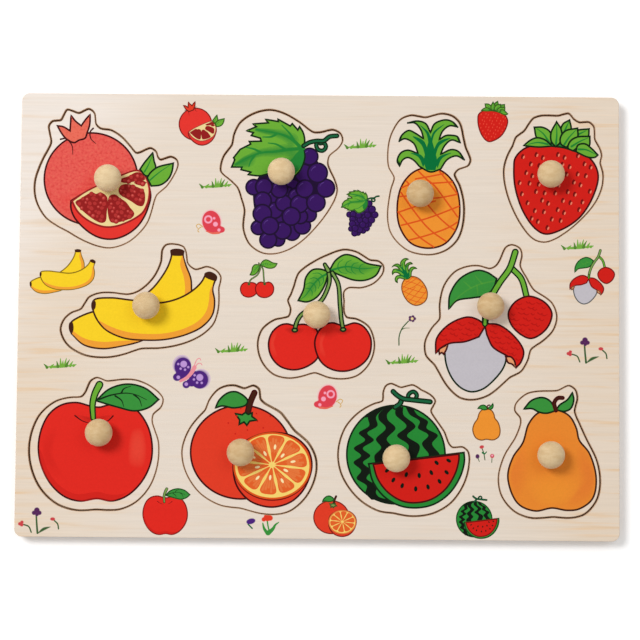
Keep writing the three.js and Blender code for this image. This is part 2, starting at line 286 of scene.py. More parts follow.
def middle_pull(point, middle, part):
    """A point pulled towards a middle, with its tip mark kept."""
    x = middle[0] + (point[0] - middle[0]) * part
    y = middle[1] + (point[1] - middle[1]) * part
    return (x, y, *point[2:])


def held_run(points, loop, margin):
    """The stretch of a rounded line that lies in a loop, clear of its edge."""
    loop = anticlockwise(loop)
    line = smooth_run(points, CURVE_STEP)
    held = np.flatnonzero(held_by(loop + inward(loop) * margin, line))
    return line[held[0] : held[-1] + 1]


def held_by(loop, points):
    """Which points lie in a loop, by how often it winds round them."""
    start, end = loop, rolled(loop)
    x, y = points[:, :1], points[:, 1:]
    side = (end[:, 0] - start[:, 0]) * (y - start[:, 1]) - (x - start[:, 0]) * (end[:, 1] - start[:, 1])
    rising = (start[:, 1] <= y) & (end[:, 1] > y) & (side > 0)
    falling = (start[:, 1] > y) & (end[:, 1] <= y) & (side < 0)
    return rising.sum(axis=1) != falling.sum(axis=1)


def cad_loops(node):
    """The closed edges of a CAD sheet's top face in millimetres, the outer one first."""
    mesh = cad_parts[node].data
    spots = np.array([v.co for v in mesh.vertices]) / MM
    top = spots[:, 2].max()
    keys = [tuple(np.round(spot[:2] * MICRONS).astype(int)) for spot in spots]
    sides = set()
    for face in mesh.polygons:
        corners = list(face.vertices)
        if min(spots[c, 2] for c in corners) < top - 1 / MICRONS:
            continue
        for start, end in zip(corners, corners[1:] + corners[:1]):
            if (keys[end], keys[start]) in sides:
                sides.remove((keys[end], keys[start]))
            else:
                sides.add((keys[start], keys[end]))
    loops = [np.array(loop) / MICRONS for loop in chained(sorted(sides))]
    return sorted(loops, key=lambda loop: -abs(signed_area(loop)))


def chained(pairs):
    """Directed edges joined end to end into closed loops."""
    follower = {start: end for start, end in pairs}
    loops = []
    while follower:
        loop = [next(iter(follower))]
        while loop[-1] in follower:
            loop.append(follower.pop(loop[-1]))
        loops.append(loop[:-1])
    return loops


# Printed sheets

BARE = (0.0, 0.0, 0.0, 0.0)
MERGE_DISTANCE = 0.0005
UNDERSIDE_MERGE = 1e-7
TINT_STEPS = 10
TINT_NESTING = 0.75  # how much smaller the innermost shape of a soft tint is
SMALL_LINE_TINT = 0.22  # how much of a figure's own ink is in the line round its small copy
SMALL_LINE_WIDTH = 0.65  # width of that line against the one round a big fruit
STEM_LINE_WIDTH = 1.7  # both dark sides of a stem together, against the line round a fruit
HALO = 0.2
HALO_COVER = 0.45


class Art:
    """Printed shapes on the board's face, listed from back to front."""

    def __init__(self, scale=1.0, turn=0.0, halo=0.0):
        self.scale = scale
        self.turn = math.radians(turn)
        self.halo = halo
        self.small = scale < 1
        self.step = CURVE_STEP / scale
        self.layers = []

    def put(self, loop, ink, cover=1.0):
        """Adds one closed loop in one ink."""
        x, y = anticlockwise(loop).T * self.scale
        cos, sin = math.cos(self.turn), math.sin(self.turn)
        self.layers.append((np.column_stack([x * cos - y * sin, x * sin + y * cos]), (*ink, cover)))

    def edged(self, loop, ink, edge):
        """Adds a loop with a dark line round it, or with a pale halo."""
        loop = anticlockwise(loop)
        if edge is not None:
            half = bpy.context.scene.puzzle_sizes.ink_line / MM / 2
            if self.small:
                half *= SMALL_LINE_WIDTH / self.scale
                edge = [dark + (tone - dark) * SMALL_LINE_TINT for dark, tone in zip(edge, ink)]
            self.put(loop - inward(loop) * half, edge)
            loop = loop + inward(loop) * half
        elif self.halo:
            self.put(loop - inward(loop) * self.halo, ink, HALO_COVER)
        self.put(loop, ink)

    def shape(self, points, ink, edge=None):
        """Adds a rounded shape through points."""
        self.edged(smooth_loop(points, self.step), ink, edge)

    def disc(self, centre, radius, ink, edge=None, tall=None, turn=0):
        """Adds a disc, or an ellipse when tall gives its other radius."""
        self.edged(disc_loop(centre, radius, tall or radius, turn, self.step), ink, edge)

    def brush(self, points, width, ink, end_width=None, within=None):
        """Adds a brush line through points, which may thin towards its end or stay within a loop."""
        if within is not None:
            points = held_run(points, within, width / 2)
        end_width = width if end_width is None else end_width
        self.put(brush_loop(points, width, end_width, self.step), ink)

    def lined(self, points, width, ink, edge, end_width=None):
        """Adds a brush line with a dark line along both sides."""
        end_width = width if end_width is None else end_width
        line = bpy.context.scene.puzzle_sizes.ink_line / MM * STEM_LINE_WIDTH
        self.brush(points, width + line, edge, end_width + line)
        self.brush(points, width, ink, end_width)

    def soft(self, points, middle, ink, cover):
        """Adds a soft tint: thin shapes that nest towards a middle and add up to a cover."""
        if self.small:
            return
        thin = 1 - (1 - cover) ** (1 / TINT_STEPS)
        for step in range(TINT_STEPS):
            nested = [middle_pull(p, middle, 1 - TINT_NESTING * step / TINT_STEPS) for p in points]
            self.put(smooth_loop(nested, self.step), ink, thin)


def ring_sides(loops):
    """Sides of several closed loops, as pairs of point numbers that count through all loops."""
    sides = []
    for loop in loops:
        start = len(sides)
        count = len(loop)
        sides.extend((start + i, start + (i + 1) % count) for i in range(count))
    return sides


def planar_map(bounds, layers):
    """Triangles of the face between the bounds, each with the ink of the front layer on it."""
    loops = [*bounds, *(loop for loop, _ in layers)]
    spots = [Vector(spot) for loop in loops for spot in loop]
    found = delaunay_2d_cdt(spots, ring_sides(loops), [], 0, MERGE_DISTANCE, False)
    spots = np.array([tuple(v) for v in found[0]])
    faces = np.array([face for face in found[2] if len(face) == 3])
    middles = spots[faces].mean(axis=1)
    kept = held_by(bounds[0], middles)
    for hole in bounds[1:]:
        near = close_to(hole, middles)
        kept[near] &= ~held_by(hole, middles[near])
    faces, middles = faces[kept], middles[kept]
    inks = np.tile(BARE, (len(faces), 1))
    for loop, ink in layers:
        near = close_to(loop, middles)
        covered = near[held_by(loop, middles[near])]
        inks[covered] = laid_over(inks[covered], np.array(ink))
    return spots, faces, inks


def laid_over(below, ink):
    """Inks, as red, green, blue and cover, after one more layer that may be thin."""
    cover = ink[3]
    kept = below[:, 3:] * (1 - cover)
    total = kept + cover
    colour = (below[:, :3] * kept + ink[:3] * cover) / total
    return np.hstack([colour, total])


def close_to(loop, points):
    """Numbers of the points in a loop's box."""
    low, high = loop.min(axis=0), loop.max(axis=0)
    return np.flatnonzero(np.all((points >= low) & (points <= high), axis=1))


def rim_loops(faces):
    """The closed edges of a set of triangles, as vertex numbers."""
    sides = {(int(f[i]), int(f[(i + 1) % 3])) for f in faces for i in range(3)}
    return chained(sorted(side for side in sides if side[::-1] not in sides))


class Mesher:
    """Collects the vertices and faces of one piece, in millimetres."""

    def __init__(self):
        self.spots = []
        self.faces = []
        self.finishes = []
        self.smooth = []
        self.inks = []

    def add_spots(self, flat, height):
        """Adds a row of points at one height and returns their numbers."""
        start = len(self.spots)
        self.spots.extend((float(x), float(y), float(height)) for x, y in flat)
        return np.arange(start, len(self.spots))

    def add_face(self, corners, finish, smooth, ink=BARE):
        """Adds one face."""
        self.faces.append([int(c) for c in corners])
        self.finishes.append(finish)
        self.smooth.append(smooth)
        self.inks.append(ink)

    def band(self, upper, lower, finish):
        """Joins two closed rows of points; the upper one runs anticlockwise round the wood."""
        for a, b, c, d in zip(upper, np.roll(upper, -1), np.roll(lower, -1), lower):
            self.add_face((a, d, c, b), finish, True)

    def made(self, name, finishes):
        """The finished Blender object."""
        mesh = bpy.data.meshes.new(name)
        mesh.from_pydata([tuple(p * MM for p in spot) for spot in self.spots], [], self.faces)
        for finish in finishes:
            mesh.materials.append(finish)
        mesh.polygons.foreach_set("material_index", self.finishes)
        mesh.polygons.foreach_set("use_smooth", self.smooth)
        corners = [ink for face, ink in zip(self.faces, self.inks) for _ in face]
        layer = mesh.attributes.new("ink", "FLOAT_COLOR", "CORNER")
        layer.data.foreach_set("color", np.array(corners, np.float32).ravel())
        mesh.update()
        piece = bpy.data.objects.new(name, mesh)
        bpy.context.scene.collection.objects.link(piece)
        return piece


FACE, EDGE, UNDERSIDE = 0, 1, 2


def sheet(mesher, cuts, profiles, layers, face_bands=0):
    """Adds a flat sheet: printed face, shaped walls along each cut, and underside.

    A profile lists, from the face down, how far into the wood a wall stands and at what height.
    The first few bands of the outer wall may keep the face's finish.
    """
    steps = [inward(cut) for cut in cuts]
    bounds = [cut + step * profile[0][0] for cut, step, profile in zip(cuts, steps, profiles)]
    spots, faces, inks = planar_map(bounds, layers)
    top = profiles[0][0][1]
    numbers = mesher.add_spots(spots, top)
    for face, ink in zip(faces, inks):
        mesher.add_face(numbers[face], FACE, False, tuple(ink))
    lowest = []
    for loop in rim_loops(faces):
        rim = spots[loop]
        owner = min(range(len(cuts)), key=lambda i: np.abs(bounds[i] - rim[0]).sum(axis=1).min())
        place, part = places_along(bounds[owner], rim)
        after = (place + 1) % len(cuts[owner])
        foot = cuts[owner][place] * (1 - part) + cuts[owner][after] * part
        step = steps[owner][place] * (1 - part) + steps[owner][after] * part
        upper = numbers[loop]
        for number, (depth, height) in enumerate(profiles[owner][1:]):
            flat = foot + step * depth
            lower = mesher.add_spots(flat, height)
            mesher.band(upper, lower, FACE if owner == 0 and number < face_bands else EDGE)
            upper = lower
        lowest.append((upper, flat))
    close_underside(mesher, lowest)


def places_along(loop, points):
    """For each point on a loop, the number of its side and how far along that side it is."""
    side = rolled(loop) - loop
    size = np.maximum(np.sum(side * side, axis=1), 1e-12)
    away = points[:, None, :] - loop[None, :, :]
    part = np.clip(np.sum(away * side, axis=2) / size, 0, 1)
    gap = np.linalg.norm(away - part[:, :, None] * side, axis=2)
    place = gap.argmin(axis=1)
    return place, part[np.arange(len(points)), place][:, None]


def close_underside(mesher, rims):
    """Fills the underside between its rims."""
    flats = [flat for _, flat in rims]
    outer = max(range(len(flats)), key=lambda i: abs(signed_area(flats[i])))
    spots = [Vector(spot) for flat in flats for spot in flat]
    numbers = np.concatenate([upper for upper, _ in rims])
    found = delaunay_2d_cdt(spots, ring_sides(flats), [], 0, UNDERSIDE_MERGE, True)
    source = [origin[0] for origin in found[3]]
    faces = np.array([[source[c] for c in face] for face in found[2]])
    flat = np.array([tuple(spot) for spot in spots])
    middles = flat[faces].mean(axis=1)
    kept = held_by(flats[outer], middles)
    for place, hole in enumerate(flats):
        if place != outer:
            kept &= ~held_by(hole, middles)
    for face in faces[kept]:
        mesher.add_face(numbers[face[::-1]], UNDERSIDE, False)


# Printed figures, drawn in board millimetres


def leaf(art, outline, ink, ribs, vein, edge, width=0.8):
    """A leaf with ribs that stay inside it and thin towards their ends."""
    art.shape(outline, ink, edge)
    inside = smooth_loop(outline)
    for rib in ribs:
        art.brush(rib, width, vein, width * 0.3, inside)


def side_veins(rib, reach, places):
    """Short veins that leave a rib forwards on both sides at shares of its length."""
    line = smooth_run(rib, CURVE_STEP)
    veins = []
    for part in places:
        spot = line[int(part * (len(line) - 1))]
        ahead = line[min(int(part * (len(line) - 1)) + 2, len(line) - 1)] - spot
        ahead /= np.linalg.norm(ahead)
        left = np.array([-ahead[1], ahead[0]])
        long = reach * (1.1 - 0.6 * part)
        for side in (1, -1):
            bend = spot + ahead * long * 0.3 + left * side * long * 0.65
            veins.append([spot, bend, spot + ahead * long + left * side * long])
    return veins


ROW_PITCH = 0.87  # distance of staggered rows against the distance of places in a row


def spread_in(loop, spacing, margin=0.36):
    """Places in staggered rows inside a loop, clear of its edge by a share of the spacing."""
    shrunk = anticlockwise(loop)
    shrunk = shrunk + inward(shrunk) * spacing * margin
    low, high = loop.min(axis=0), loop.max(axis=0)
    places = []
    rows = int((high[1] - low[1]) / (spacing * ROW_PITCH)) + 1
    columns = int((high[0] - low[0]) / spacing) + 2
    for row in range(rows):
        for column in range(columns):
            wobble = 0.22 * spacing * math.sin(5.1 * row + 2.7 * column)
            x = low[0] + (column + 0.5 * (row % 2)) * spacing + wobble
            y = low[1] + (row + 0.5) * spacing * ROW_PITCH + wobble * 0.7
            places.append((x, y))
    held = held_by(shrunk, np.array(places))
    return [place for place, kept in zip(places, held) if kept]


def draw_pomegranate(art, inks):
    """A crowned pomegranate behind a cut half with seeds and two leaves."""
    art.disc((-114.7, 67.8), 23.4, inks.rind_red if art.small else inks.coral, inks.line, 23.2)
    low_side = [(-108, 62), (-114, 48), (-126, 50), (-134, 58), (-124, 62), (-112, 74)]
    art.soft(low_side, (-118, 56), inks.rind_red, 0.4)
    crown = [
        (-132, 94.5, TIP), (-129, 94), (-125.6, 92, TIP), (-125.2, 99.8, TIP), (-123, 97),
        (-120, 94.6, TIP), (-118, 97.6), (-115.6, 100.4, TIP), (-115.8, 95), (-117, 91), (-118, 88.3),
        (-121, 87.3), (-123.5, 86), (-127.5, 88), (-130, 91),
    ]
    art.shape(crown, inks.orange if art.small else inks.crown, inks.line)
    creases = [
        [(-130.3, 87.7), (-127.5, 88), (-124.5, 84.5), (-124, 80)],
        [(-114, 93.3), (-115.5, 91.5), (-115, 88), (-112.5, 85.6)],
    ]
    for crease in creases:
        art.brush(crease, 0.9, inks.line, 0.3)
    draw_pomegranate_half(art, inks)
    leaves = [
        ([(-90.2, 72.8, TIP), (-87.8, 76.4), (-83.9, 81.2, TIP), (-83.2, 77.2), (-82.4, 73.4),
          (-86.8, 69.4)],
         [(-88.3, 70.8), (-86, 75), (-84.2, 79.5)]),
        ([(-86.5, 68.5, TIP), (-85, 71), (-81.4, 73.9), (-73.5, 76, TIP), (-74.2, 71.5), (-76.2, 67.6),
          (-79.8, 65), (-84.4, 64.4, TIP)],
         [(-85.8, 66.7), (-81.4, 70.6), (-75, 75.2)]),
    ]
    for outline, rib in leaves:
        leaf(art, outline, inks.leaf, [rib], inks.leaf_mid, inks.leaf_line)


def draw_pomegranate_half(art, inks):
    """The cut half: rind, pale pith and chambers full of seeds."""
    top = [(-118.5, 60.4), (-111.9, 64), (-100, 69.4), (-92, 72.2), (-89, 71.4), (-86.8, 68.2), (-85.3, 63.5)]
    rind = [
        (-124.5, 56.6, TIP), *top, (-84.6, 59), (-85.7, 54), (-87.8, 48.7), (-91.5, 43.5), (-96.6, 39.7),
        (-102.5, 37.6), (-108.5, 37.8), (-113.7, 39.9), (-119, 44), (-122.8, 48.5), (-124.5, 53),
    ]
    art.shape(rind, inks.rind_red, inks.line)
    face = [
        (-124, 56.4, TIP), *top, (-85.3, 59.2), (-86.2, 55.3), (-88.3, 51.2), (-91.6, 48.5), (-96.7, 45.8),
        (-101.9, 44), (-107.1, 43.6), (-112.3, 45), (-117.6, 48), (-121.4, 51.6),
    ]
    art.shape(face, inks.seed_pink, inks.seed_red)
    art.shape([middle_pull(p, (-105, 57), 0.965) for p in face], inks.cream)
    chambers = [
        [(-121.7, 55.9), (-119.9, 57), (-117.1, 58.8), (-113.9, 60.4), (-112.2, 59.6), (-109.6, 60.3),
         (-107.1, 58.5), (-106.7, 55.3), (-107.1, 50.8), (-107.6, 46.7), (-109.2, 46.2), (-113, 48),
         (-117, 51), (-120.2, 53.9)],
        [(-105.3, 57.6), (-104.6, 59), (-102.5, 59.4), (-100.2, 57.6), (-97.6, 56), (-95.4, 53.2),
         (-93.3, 50.4), (-93.8, 49.2), (-96.4, 47.8), (-100.6, 46.6), (-104, 46.5), (-104.9, 48.3),
         (-105.6, 53)],
        [(-100.2, 62.5), (-99.1, 64.2), (-96.2, 64.7), (-92.5, 63.6), (-88.6, 61.6), (-88, 59.2),
         (-88.2, 56.2), (-89, 54.8), (-91, 55.1), (-93.9, 57), (-97.6, 59.1), (-99.8, 60.6)],
        [(-99.5, 67.2), (-95.6, 68.8), (-91.9, 70.7), (-89.5, 70.3), (-88.2, 67.9), (-91.1, 67.6),
         (-94.8, 66.8), (-98.4, 66.5)],
        [(-92.2, 66), (-89.5, 66.6), (-87.6, 66), (-89.5, 65.2)],
    ]
    for chamber in chambers:
        loop = anticlockwise(smooth_loop(chamber, art.step))
        loop = loop - inward(loop) * 0.6
        art.put(loop, inks.seed_red)
        if art.small:
            continue
        for number, (x, y) in enumerate(spread_in(loop, 2.5, 0.2)):
            slant = 35 * number
            size = 1.2 + 0.25 * math.sin(2.3 * number)
            art.disc((x, y), size, inks.seed_red, None, size * 0.9, slant)
            art.disc((x - 0.1, y + 0.1), size * 0.78, inks.seed_ripe, None, size * 0.68, slant)
            if number % 3 == 1:
                art.put(disc_loop((x - 0.2, y + 0.3), size * 0.4, size * 0.4), inks.seed_pink, 0.5)


def draw_grape(art, inks):
    """A bunch of grapes under a toothed leaf with a tendril."""
    bunch = [
        (-4, 80), (2, 72), (5, 64), (0, 56), (-4, 49), (-10, 42), (-20, 37), (-28, 40), (-32, 50),
        (-33, 64), (-28, 72), (-14, 74),
    ]
    art.shape(bunch, inks.grape_line)
    grapes = [
        (-8, 71.4, 4.6), (-13.7, 64, 4.4), (-16.5, 60.3, 4.3), (-22.6, 59, 4.2), (-11.6, 60, 4),
        (-24, 66, 4), (-5.2, 79.9, 4.2), (-20.5, 37.9, 3.3), (-13.6, 41.6, 4), (-30.5, 43.9, 3.6),
        (-8.5, 44.9, 4.1), (-5.2, 50.6, 3.7), (-9.5, 49.6, 3.6), (-20, 48, 3.8), (-22.4, 52.6, 4),
        (-18, 56.3, 4), (-10.1, 55.9, 4.4), (-20.2, 63.2, 4.2), (-33, 64.2, 3.9), (-27.9, 64.5, 4.2),
        (-7.4, 63.6, 4.4), (-28.5, 57.5, 4.3), (-25.5, 37.8, 4.2), (-18.4, 42.5, 4.3), (-1.8, 56.7, 4.6),
        (3, 64, 4.5), (-1.1, 71.7, 4.9), (-14.1, 49.7, 4.5), (-28.6, 50.9, 4.6), (-24.8, 44.8, 4.4),
    ]
    for x, y, radius in grapes:
        art.disc((x, y), radius, inks.grape, inks.grape_line)
        glint = [math.radians(angle) for angle in (112, 130, 148, 164)]
        arc = [(x + radius * 0.68 * math.cos(a), y + radius * 0.68 * math.sin(a)) for a in glint]
        art.brush(arc, radius * 0.13, inks.grape_light, radius * 0.04)
    draw_grape_leaf(art, inks)
    curl = [(-1.2, 87.6), (-1.9, 85.6), (-0.7, 83.3), (1.6, 83), (3, 84.9), (2, 86.8), (0.1, 86.6)]
    tendril = [(-8.2, 85.3), (-5.3, 87), (-1.7, 87.8), (1.9, 87.9), (4.7, 90), (8.5, 90.5)]
    for line, width in ((curl, 0.8), (tendril, 1.0)):
        art.lined(line, width, inks.tendril, inks.leaf_line)


def draw_grape_leaf(art, inks):
    """A toothed leaf with branching veins and a shaded side."""
    outline = [
        (-8.5, 84, TIP), (-7.7, 88), (-8.5, 92), (-10.3, 95, TIP), (-11.2, 93.3, TIP), (-14, 96.5, TIP),
        (-15, 95.3, TIP), (-21.2, 98.7, TIP), (-21, 97.5, TIP), (-27.5, 98.6, TIP), (-26, 96.8, TIP),
        (-33.8, 96.2, TIP), (-32, 94.8, TIP), (-37, 92.7, TIP), (-33.5, 91.8, TIP), (-34.5, 90.3, TIP),
        (-30, 89, TIP), (-29.5, 87.5, TIP), (-35.5, 87.3, TIP), (-34.8, 86, TIP), (-40, 83.3, TIP),
        (-43.3, 79, TIP), (-42.7, 78, TIP), (-44.2, 74.3, TIP), (-39, 74.3, TIP), (-39.5, 73, TIP),
        (-34.5, 71.8, TIP), (-36, 70.5, TIP), (-30, 70), (-26, 71, TIP), (-20, 66.5), (-12, 70.5),
        (-9, 74.5), (-7.5, 80),
    ]
    art.shape(outline, inks.leaf, inks.leaf_line)
    shade = [(-8.6, 84.5, TIP), (-7.9, 80), (-9.3, 74.9), (-12.6, 71, TIP), (-14.5, 75), (-13, 80)]
    art.shape(shade, inks.leaf_mid)
    soft_shades = [
        ([(-9.6, 85), (-9, 80), (-11, 75), (-16, 71), (-18, 78), (-16, 83)], (-11, 79), 0.7),
        ([(-43, 75), (-38, 80), (-32, 80.5), (-33, 75.5), (-37, 74)], (-39, 76.5), 0.75),
        ([(-34, 93), (-26, 94), (-21, 92), (-27, 90.5)], (-26, 92.5), 0.5),
    ]
    for soft_shade, middle, cover in soft_shades:
        art.soft(soft_shade, middle, inks.leaf_mid, cover)
    main_veins = [
        [(-8.3, 84), (-15.3, 83.4), (-22.4, 82.3), (-29.6, 81.6), (-36.7, 78.8), (-42.3, 75.6)],
        [(-9.5, 84.3), (-13.9, 88.4), (-18.2, 90.6), (-24, 92), (-32, 93.4)],
    ]
    small_veins = [
        [(-12.5, 87), (-15.2, 91.5), (-19.2, 95.6)],
        [(-29.6, 81.7), (-32.9, 83.4), (-37, 84.3)],
        [(-32.8, 80.3), (-34.9, 76.8), (-35.6, 74.6)],
        [(-21.8, 91.3), (-24.4, 89.8), (-28.8, 89.6)],
        [(-17, 83.2), (-22, 86), (-26, 86.6)],
        [(-9.5, 83), (-14, 78), (-21, 73), (-27, 72)],
    ]
    for vein in main_veins:
        for width in (6.6, 4.6, 3.0):
            art.put(brush_loop(vein[1:], width, 1.6, art.step), inks.leaf_mid, 0.3)
    for veins, width in ((main_veins, 1.9), (small_veins, 1.4)):
        for vein in veins:
            art.brush(vein, width, inks.leaf_mid, 0.5)


def draw_pineapple(art, inks):
    """A netted pineapple with a tall crown."""
    body = [
        (54.6, 74.8), (62, 72.6), (67.8, 66), (70.2, 56), (69, 45), (63, 36.6), (54.6, 34.2), (46, 36.6),
        (40.2, 45), (39, 56), (41.4, 66), (47.2, 72.6),
    ]
    art.shape(body, inks.pineapple, inks.line)
    art.soft([(66, 68), (70, 56), (68, 44), (60, 38), (64, 50)], (67, 52), inks.lattice, 0.16)
    net = [
        [(47.5, 75), (53.2, 69.3), (57.5, 65.7), (62.2, 59.6), (66.9, 53.2), (71, 47.5)],
        [(59.5, 73.5), (65, 66.8), (71, 59)],
        [(39, 64.7), (47.2, 53), (55.1, 43.7), (66, 36)],
        [(42, 69.5), (48.6, 62), (54.3, 55.9), (58.7, 50.9), (65.1, 45.2), (70.5, 41.8)],
        [(38, 54.2), (43.7, 46.9), (49.8, 40.1), (58.5, 34)],
        [(48, 69), (53, 69.9), (66, 72.6)],
        [(40, 64), (46, 66.4), (56.4, 66.9), (71, 68)],
        [(38, 60), (48.6, 60.4), (57.2, 59.4), (72, 62)],
        [(37, 51.2), (48.3, 55.2), (58, 58)],
        [(38, 44.8), (51.5, 48.4), (58.7, 50.9), (72, 56.3)],
        [(42, 37.4), (54.4, 40.8), (65.1, 44.9), (72, 49.5)],
    ]
    for line in net:
        art.brush(line, 0.8, inks.lattice, within=smooth_loop(body))
    crown = [
        (50, 75.3, TIP), (47, 78.5), (44, 79.8), (41.5, 78.5), (40, 75.5, TIP), (38.8, 78), (40.5, 82),
        (44, 83.5), (49.3, 81.8, TIP), (47, 87), (42.5, 89.3), (39.7, 88, TIP), (41, 91), (44.5, 93.5),
        (48, 92), (52, 89.3, TIP), (50.5, 94), (47.5, 97.3), (44, 97.3, TIP), (49, 98.3), (53, 97),
        (55.4, 92.5, TIP), (57.5, 97), (63, 99), (66.5, 98), (69, 95.5, TIP), (65, 96), (61.5, 93.3),
        (59.7, 88.8, TIP), (63, 91), (66, 91.2), (69, 90.5), (70.3, 87.5, TIP), (66, 88.8), (62.6, 86),
        (60.5, 81.5, TIP), (66, 84), (69.5, 83), (72.5, 78.8, TIP), (68.5, 80.8), (64, 79),
        (60.5, 74, TIP), (55.5, 72.6),
    ]
    art.shape(crown, inks.leaf, inks.leaf_line)
    darts = [
        [(53.4, 73.5, TIP), (52.2, 78), (53.6, 85), (55.4, 91, TIP), (57.2, 85), (58.8, 78), (58, 73.5, TIP)],
        [(51.8, 75, TIP), (49.4, 80), (45.5, 82), (50.5, 81.3), (53.3, 78, TIP)],
        [(59, 74.5, TIP), (61.3, 79.5), (66, 82.3), (60.5, 80.8), (57.8, 78, TIP)],
        [(53, 80, TIP), (51, 86), (46.5, 90.5), (52, 88.3), (54.3, 83, TIP)],
        [(57.8, 80, TIP), (60, 86), (65.5, 89.8), (59.5, 88), (56.8, 83, TIP)],
        [(54.6, 86, TIP), (53.3, 92), (50, 96.3), (54.6, 92.5), (55.5, 89, TIP)],
        [(56, 86, TIP), (57.6, 92), (62.5, 96.8), (57, 93), (55.5, 89, TIP)],
    ]
    for dart in darts:
        art.shape(dart, inks.leaf_vein)
    tips = [
        [(44, 97.3), (48.2, 98)], [(69, 95.4), (66.8, 97.3)], [(39.8, 88), (41, 90.2)],
        [(70.3, 87.6), (68.9, 89.8)], [(40, 75.6), (39.6, 78.2)], [(72.4, 78.9), (70.3, 81.6)],
    ]
    for tip in tips:
        art.brush(tip, 1.0, inks.leaf_line, 0.3)


def draw_strawberry(art, inks):
    """A strawberry with seeds in rows under a star of leaves."""
    body = [
        (98, 80), (103, 85), (113, 87), (124, 85.5), (135.5, 80), (139.5, 72), (137, 61), (130, 50),
        (120, 43.5), (113, 41.8), (108, 44.5), (102, 53), (98, 65), (97.3, 75),
    ]
    art.shape(body, inks.ripe, inks.line)
    for x, y in spread_in(smooth_loop(body), 5.3):
        if art.small:
            art.disc((x, y), 0.7, inks.berry_light, None, 1.3, -15)
            continue
        art.disc((x - 0.4, y + 0.2), 0.75, inks.seed_dark, None, 1.35, -15)
        art.disc((x + 0.25, y - 0.2), 0.42, inks.seed_light, None, 0.85, -22)
    under = [
        (104, 86.4), (108.6, 88.8), (114, 91), (119, 93), (126, 92.5), (131.5, 91.5), (133, 87.5),
        (135, 82.6), (130, 83), (122, 85.4), (112, 86.3),
    ]
    art.shape(under, inks.leaf_mid, inks.leaf_line)
    leaves = [
        ([(125.2, 99.4, TIP), (125.9, 94.6), (123, 92.3, TIP), (120.8, 93), (121.8, 97.2)],
         [(122.6, 93.6), (124.8, 98.4)]),
        ([(135, 95, TIP), (134.4, 91), (129.3, 90, TIP), (128.6, 93.8)], [(129.3, 92), (134.2, 94.4)]),
        ([(107.5, 95.6, TIP), (111.7, 95.6), (115.2, 93.6), (116.3, 90.5), (115.8, 86.6, TIP), (112.1, 88.6),
          (108.8, 90.2)],
         [(115, 88), (112, 92.4), (108.8, 94.9)]),
        ([(102.2, 86.3, TIP), (105.8, 89.2), (108.9, 90.3), (112.8, 89.3), (116.4, 86.1, TIP), (109.5, 85.6)],
         [(115, 86.9), (109.4, 87.9), (103.6, 86.7)]),
        ([(118.7, 98.4, TIP), (120.8, 95), (121.4, 91.3), (120.2, 87.6), (118.2, 85.9, TIP), (116.1, 88.4),
          (115.9, 92.8)],
         [(118.4, 87.2), (118.8, 92), (118.7, 97)]),
        ([(129.2, 95.3, TIP), (129.2, 90.6), (126, 88.2), (123.6, 85.5, TIP), (120.9, 87.2), (120.6, 90.4),
          (123, 93.8)],
         [(122.6, 87), (124.8, 90.4), (128.4, 94.4)]),
        ([(135.4, 91.2, TIP), (134.9, 86.2), (130, 85.9), (127, 83.8, TIP), (124.4, 85.2), (125.6, 88.7),
          (129, 90.8)],
         [(126.2, 86), (130, 88.4), (134.4, 90.4)]),
        ([(139.4, 81.8, TIP), (137.9, 80.6), (134.3, 80.7), (128.4, 83.4, TIP), (129.4, 86.7), (132.9, 87.4),
          (136.3, 85)],
         [(129.8, 84.6), (133.6, 84.4), (138.2, 82.2)]),
    ]
    for outline, rib in leaves:
        leaf(art, outline, inks.leaf, [rib], inks.leaf_mid, inks.leaf_line, 1.1)


def draw_one_banana(art, inks, body, shades, caps):
    """A banana with its orange shades and brown caps."""
    art.shape(body, inks.banana, inks.stem_brown)
    for shade in shades:
        art.shape(shade, inks.banana_shade)
    for cap in caps:
        art.shape(cap, inks.stem_brown)


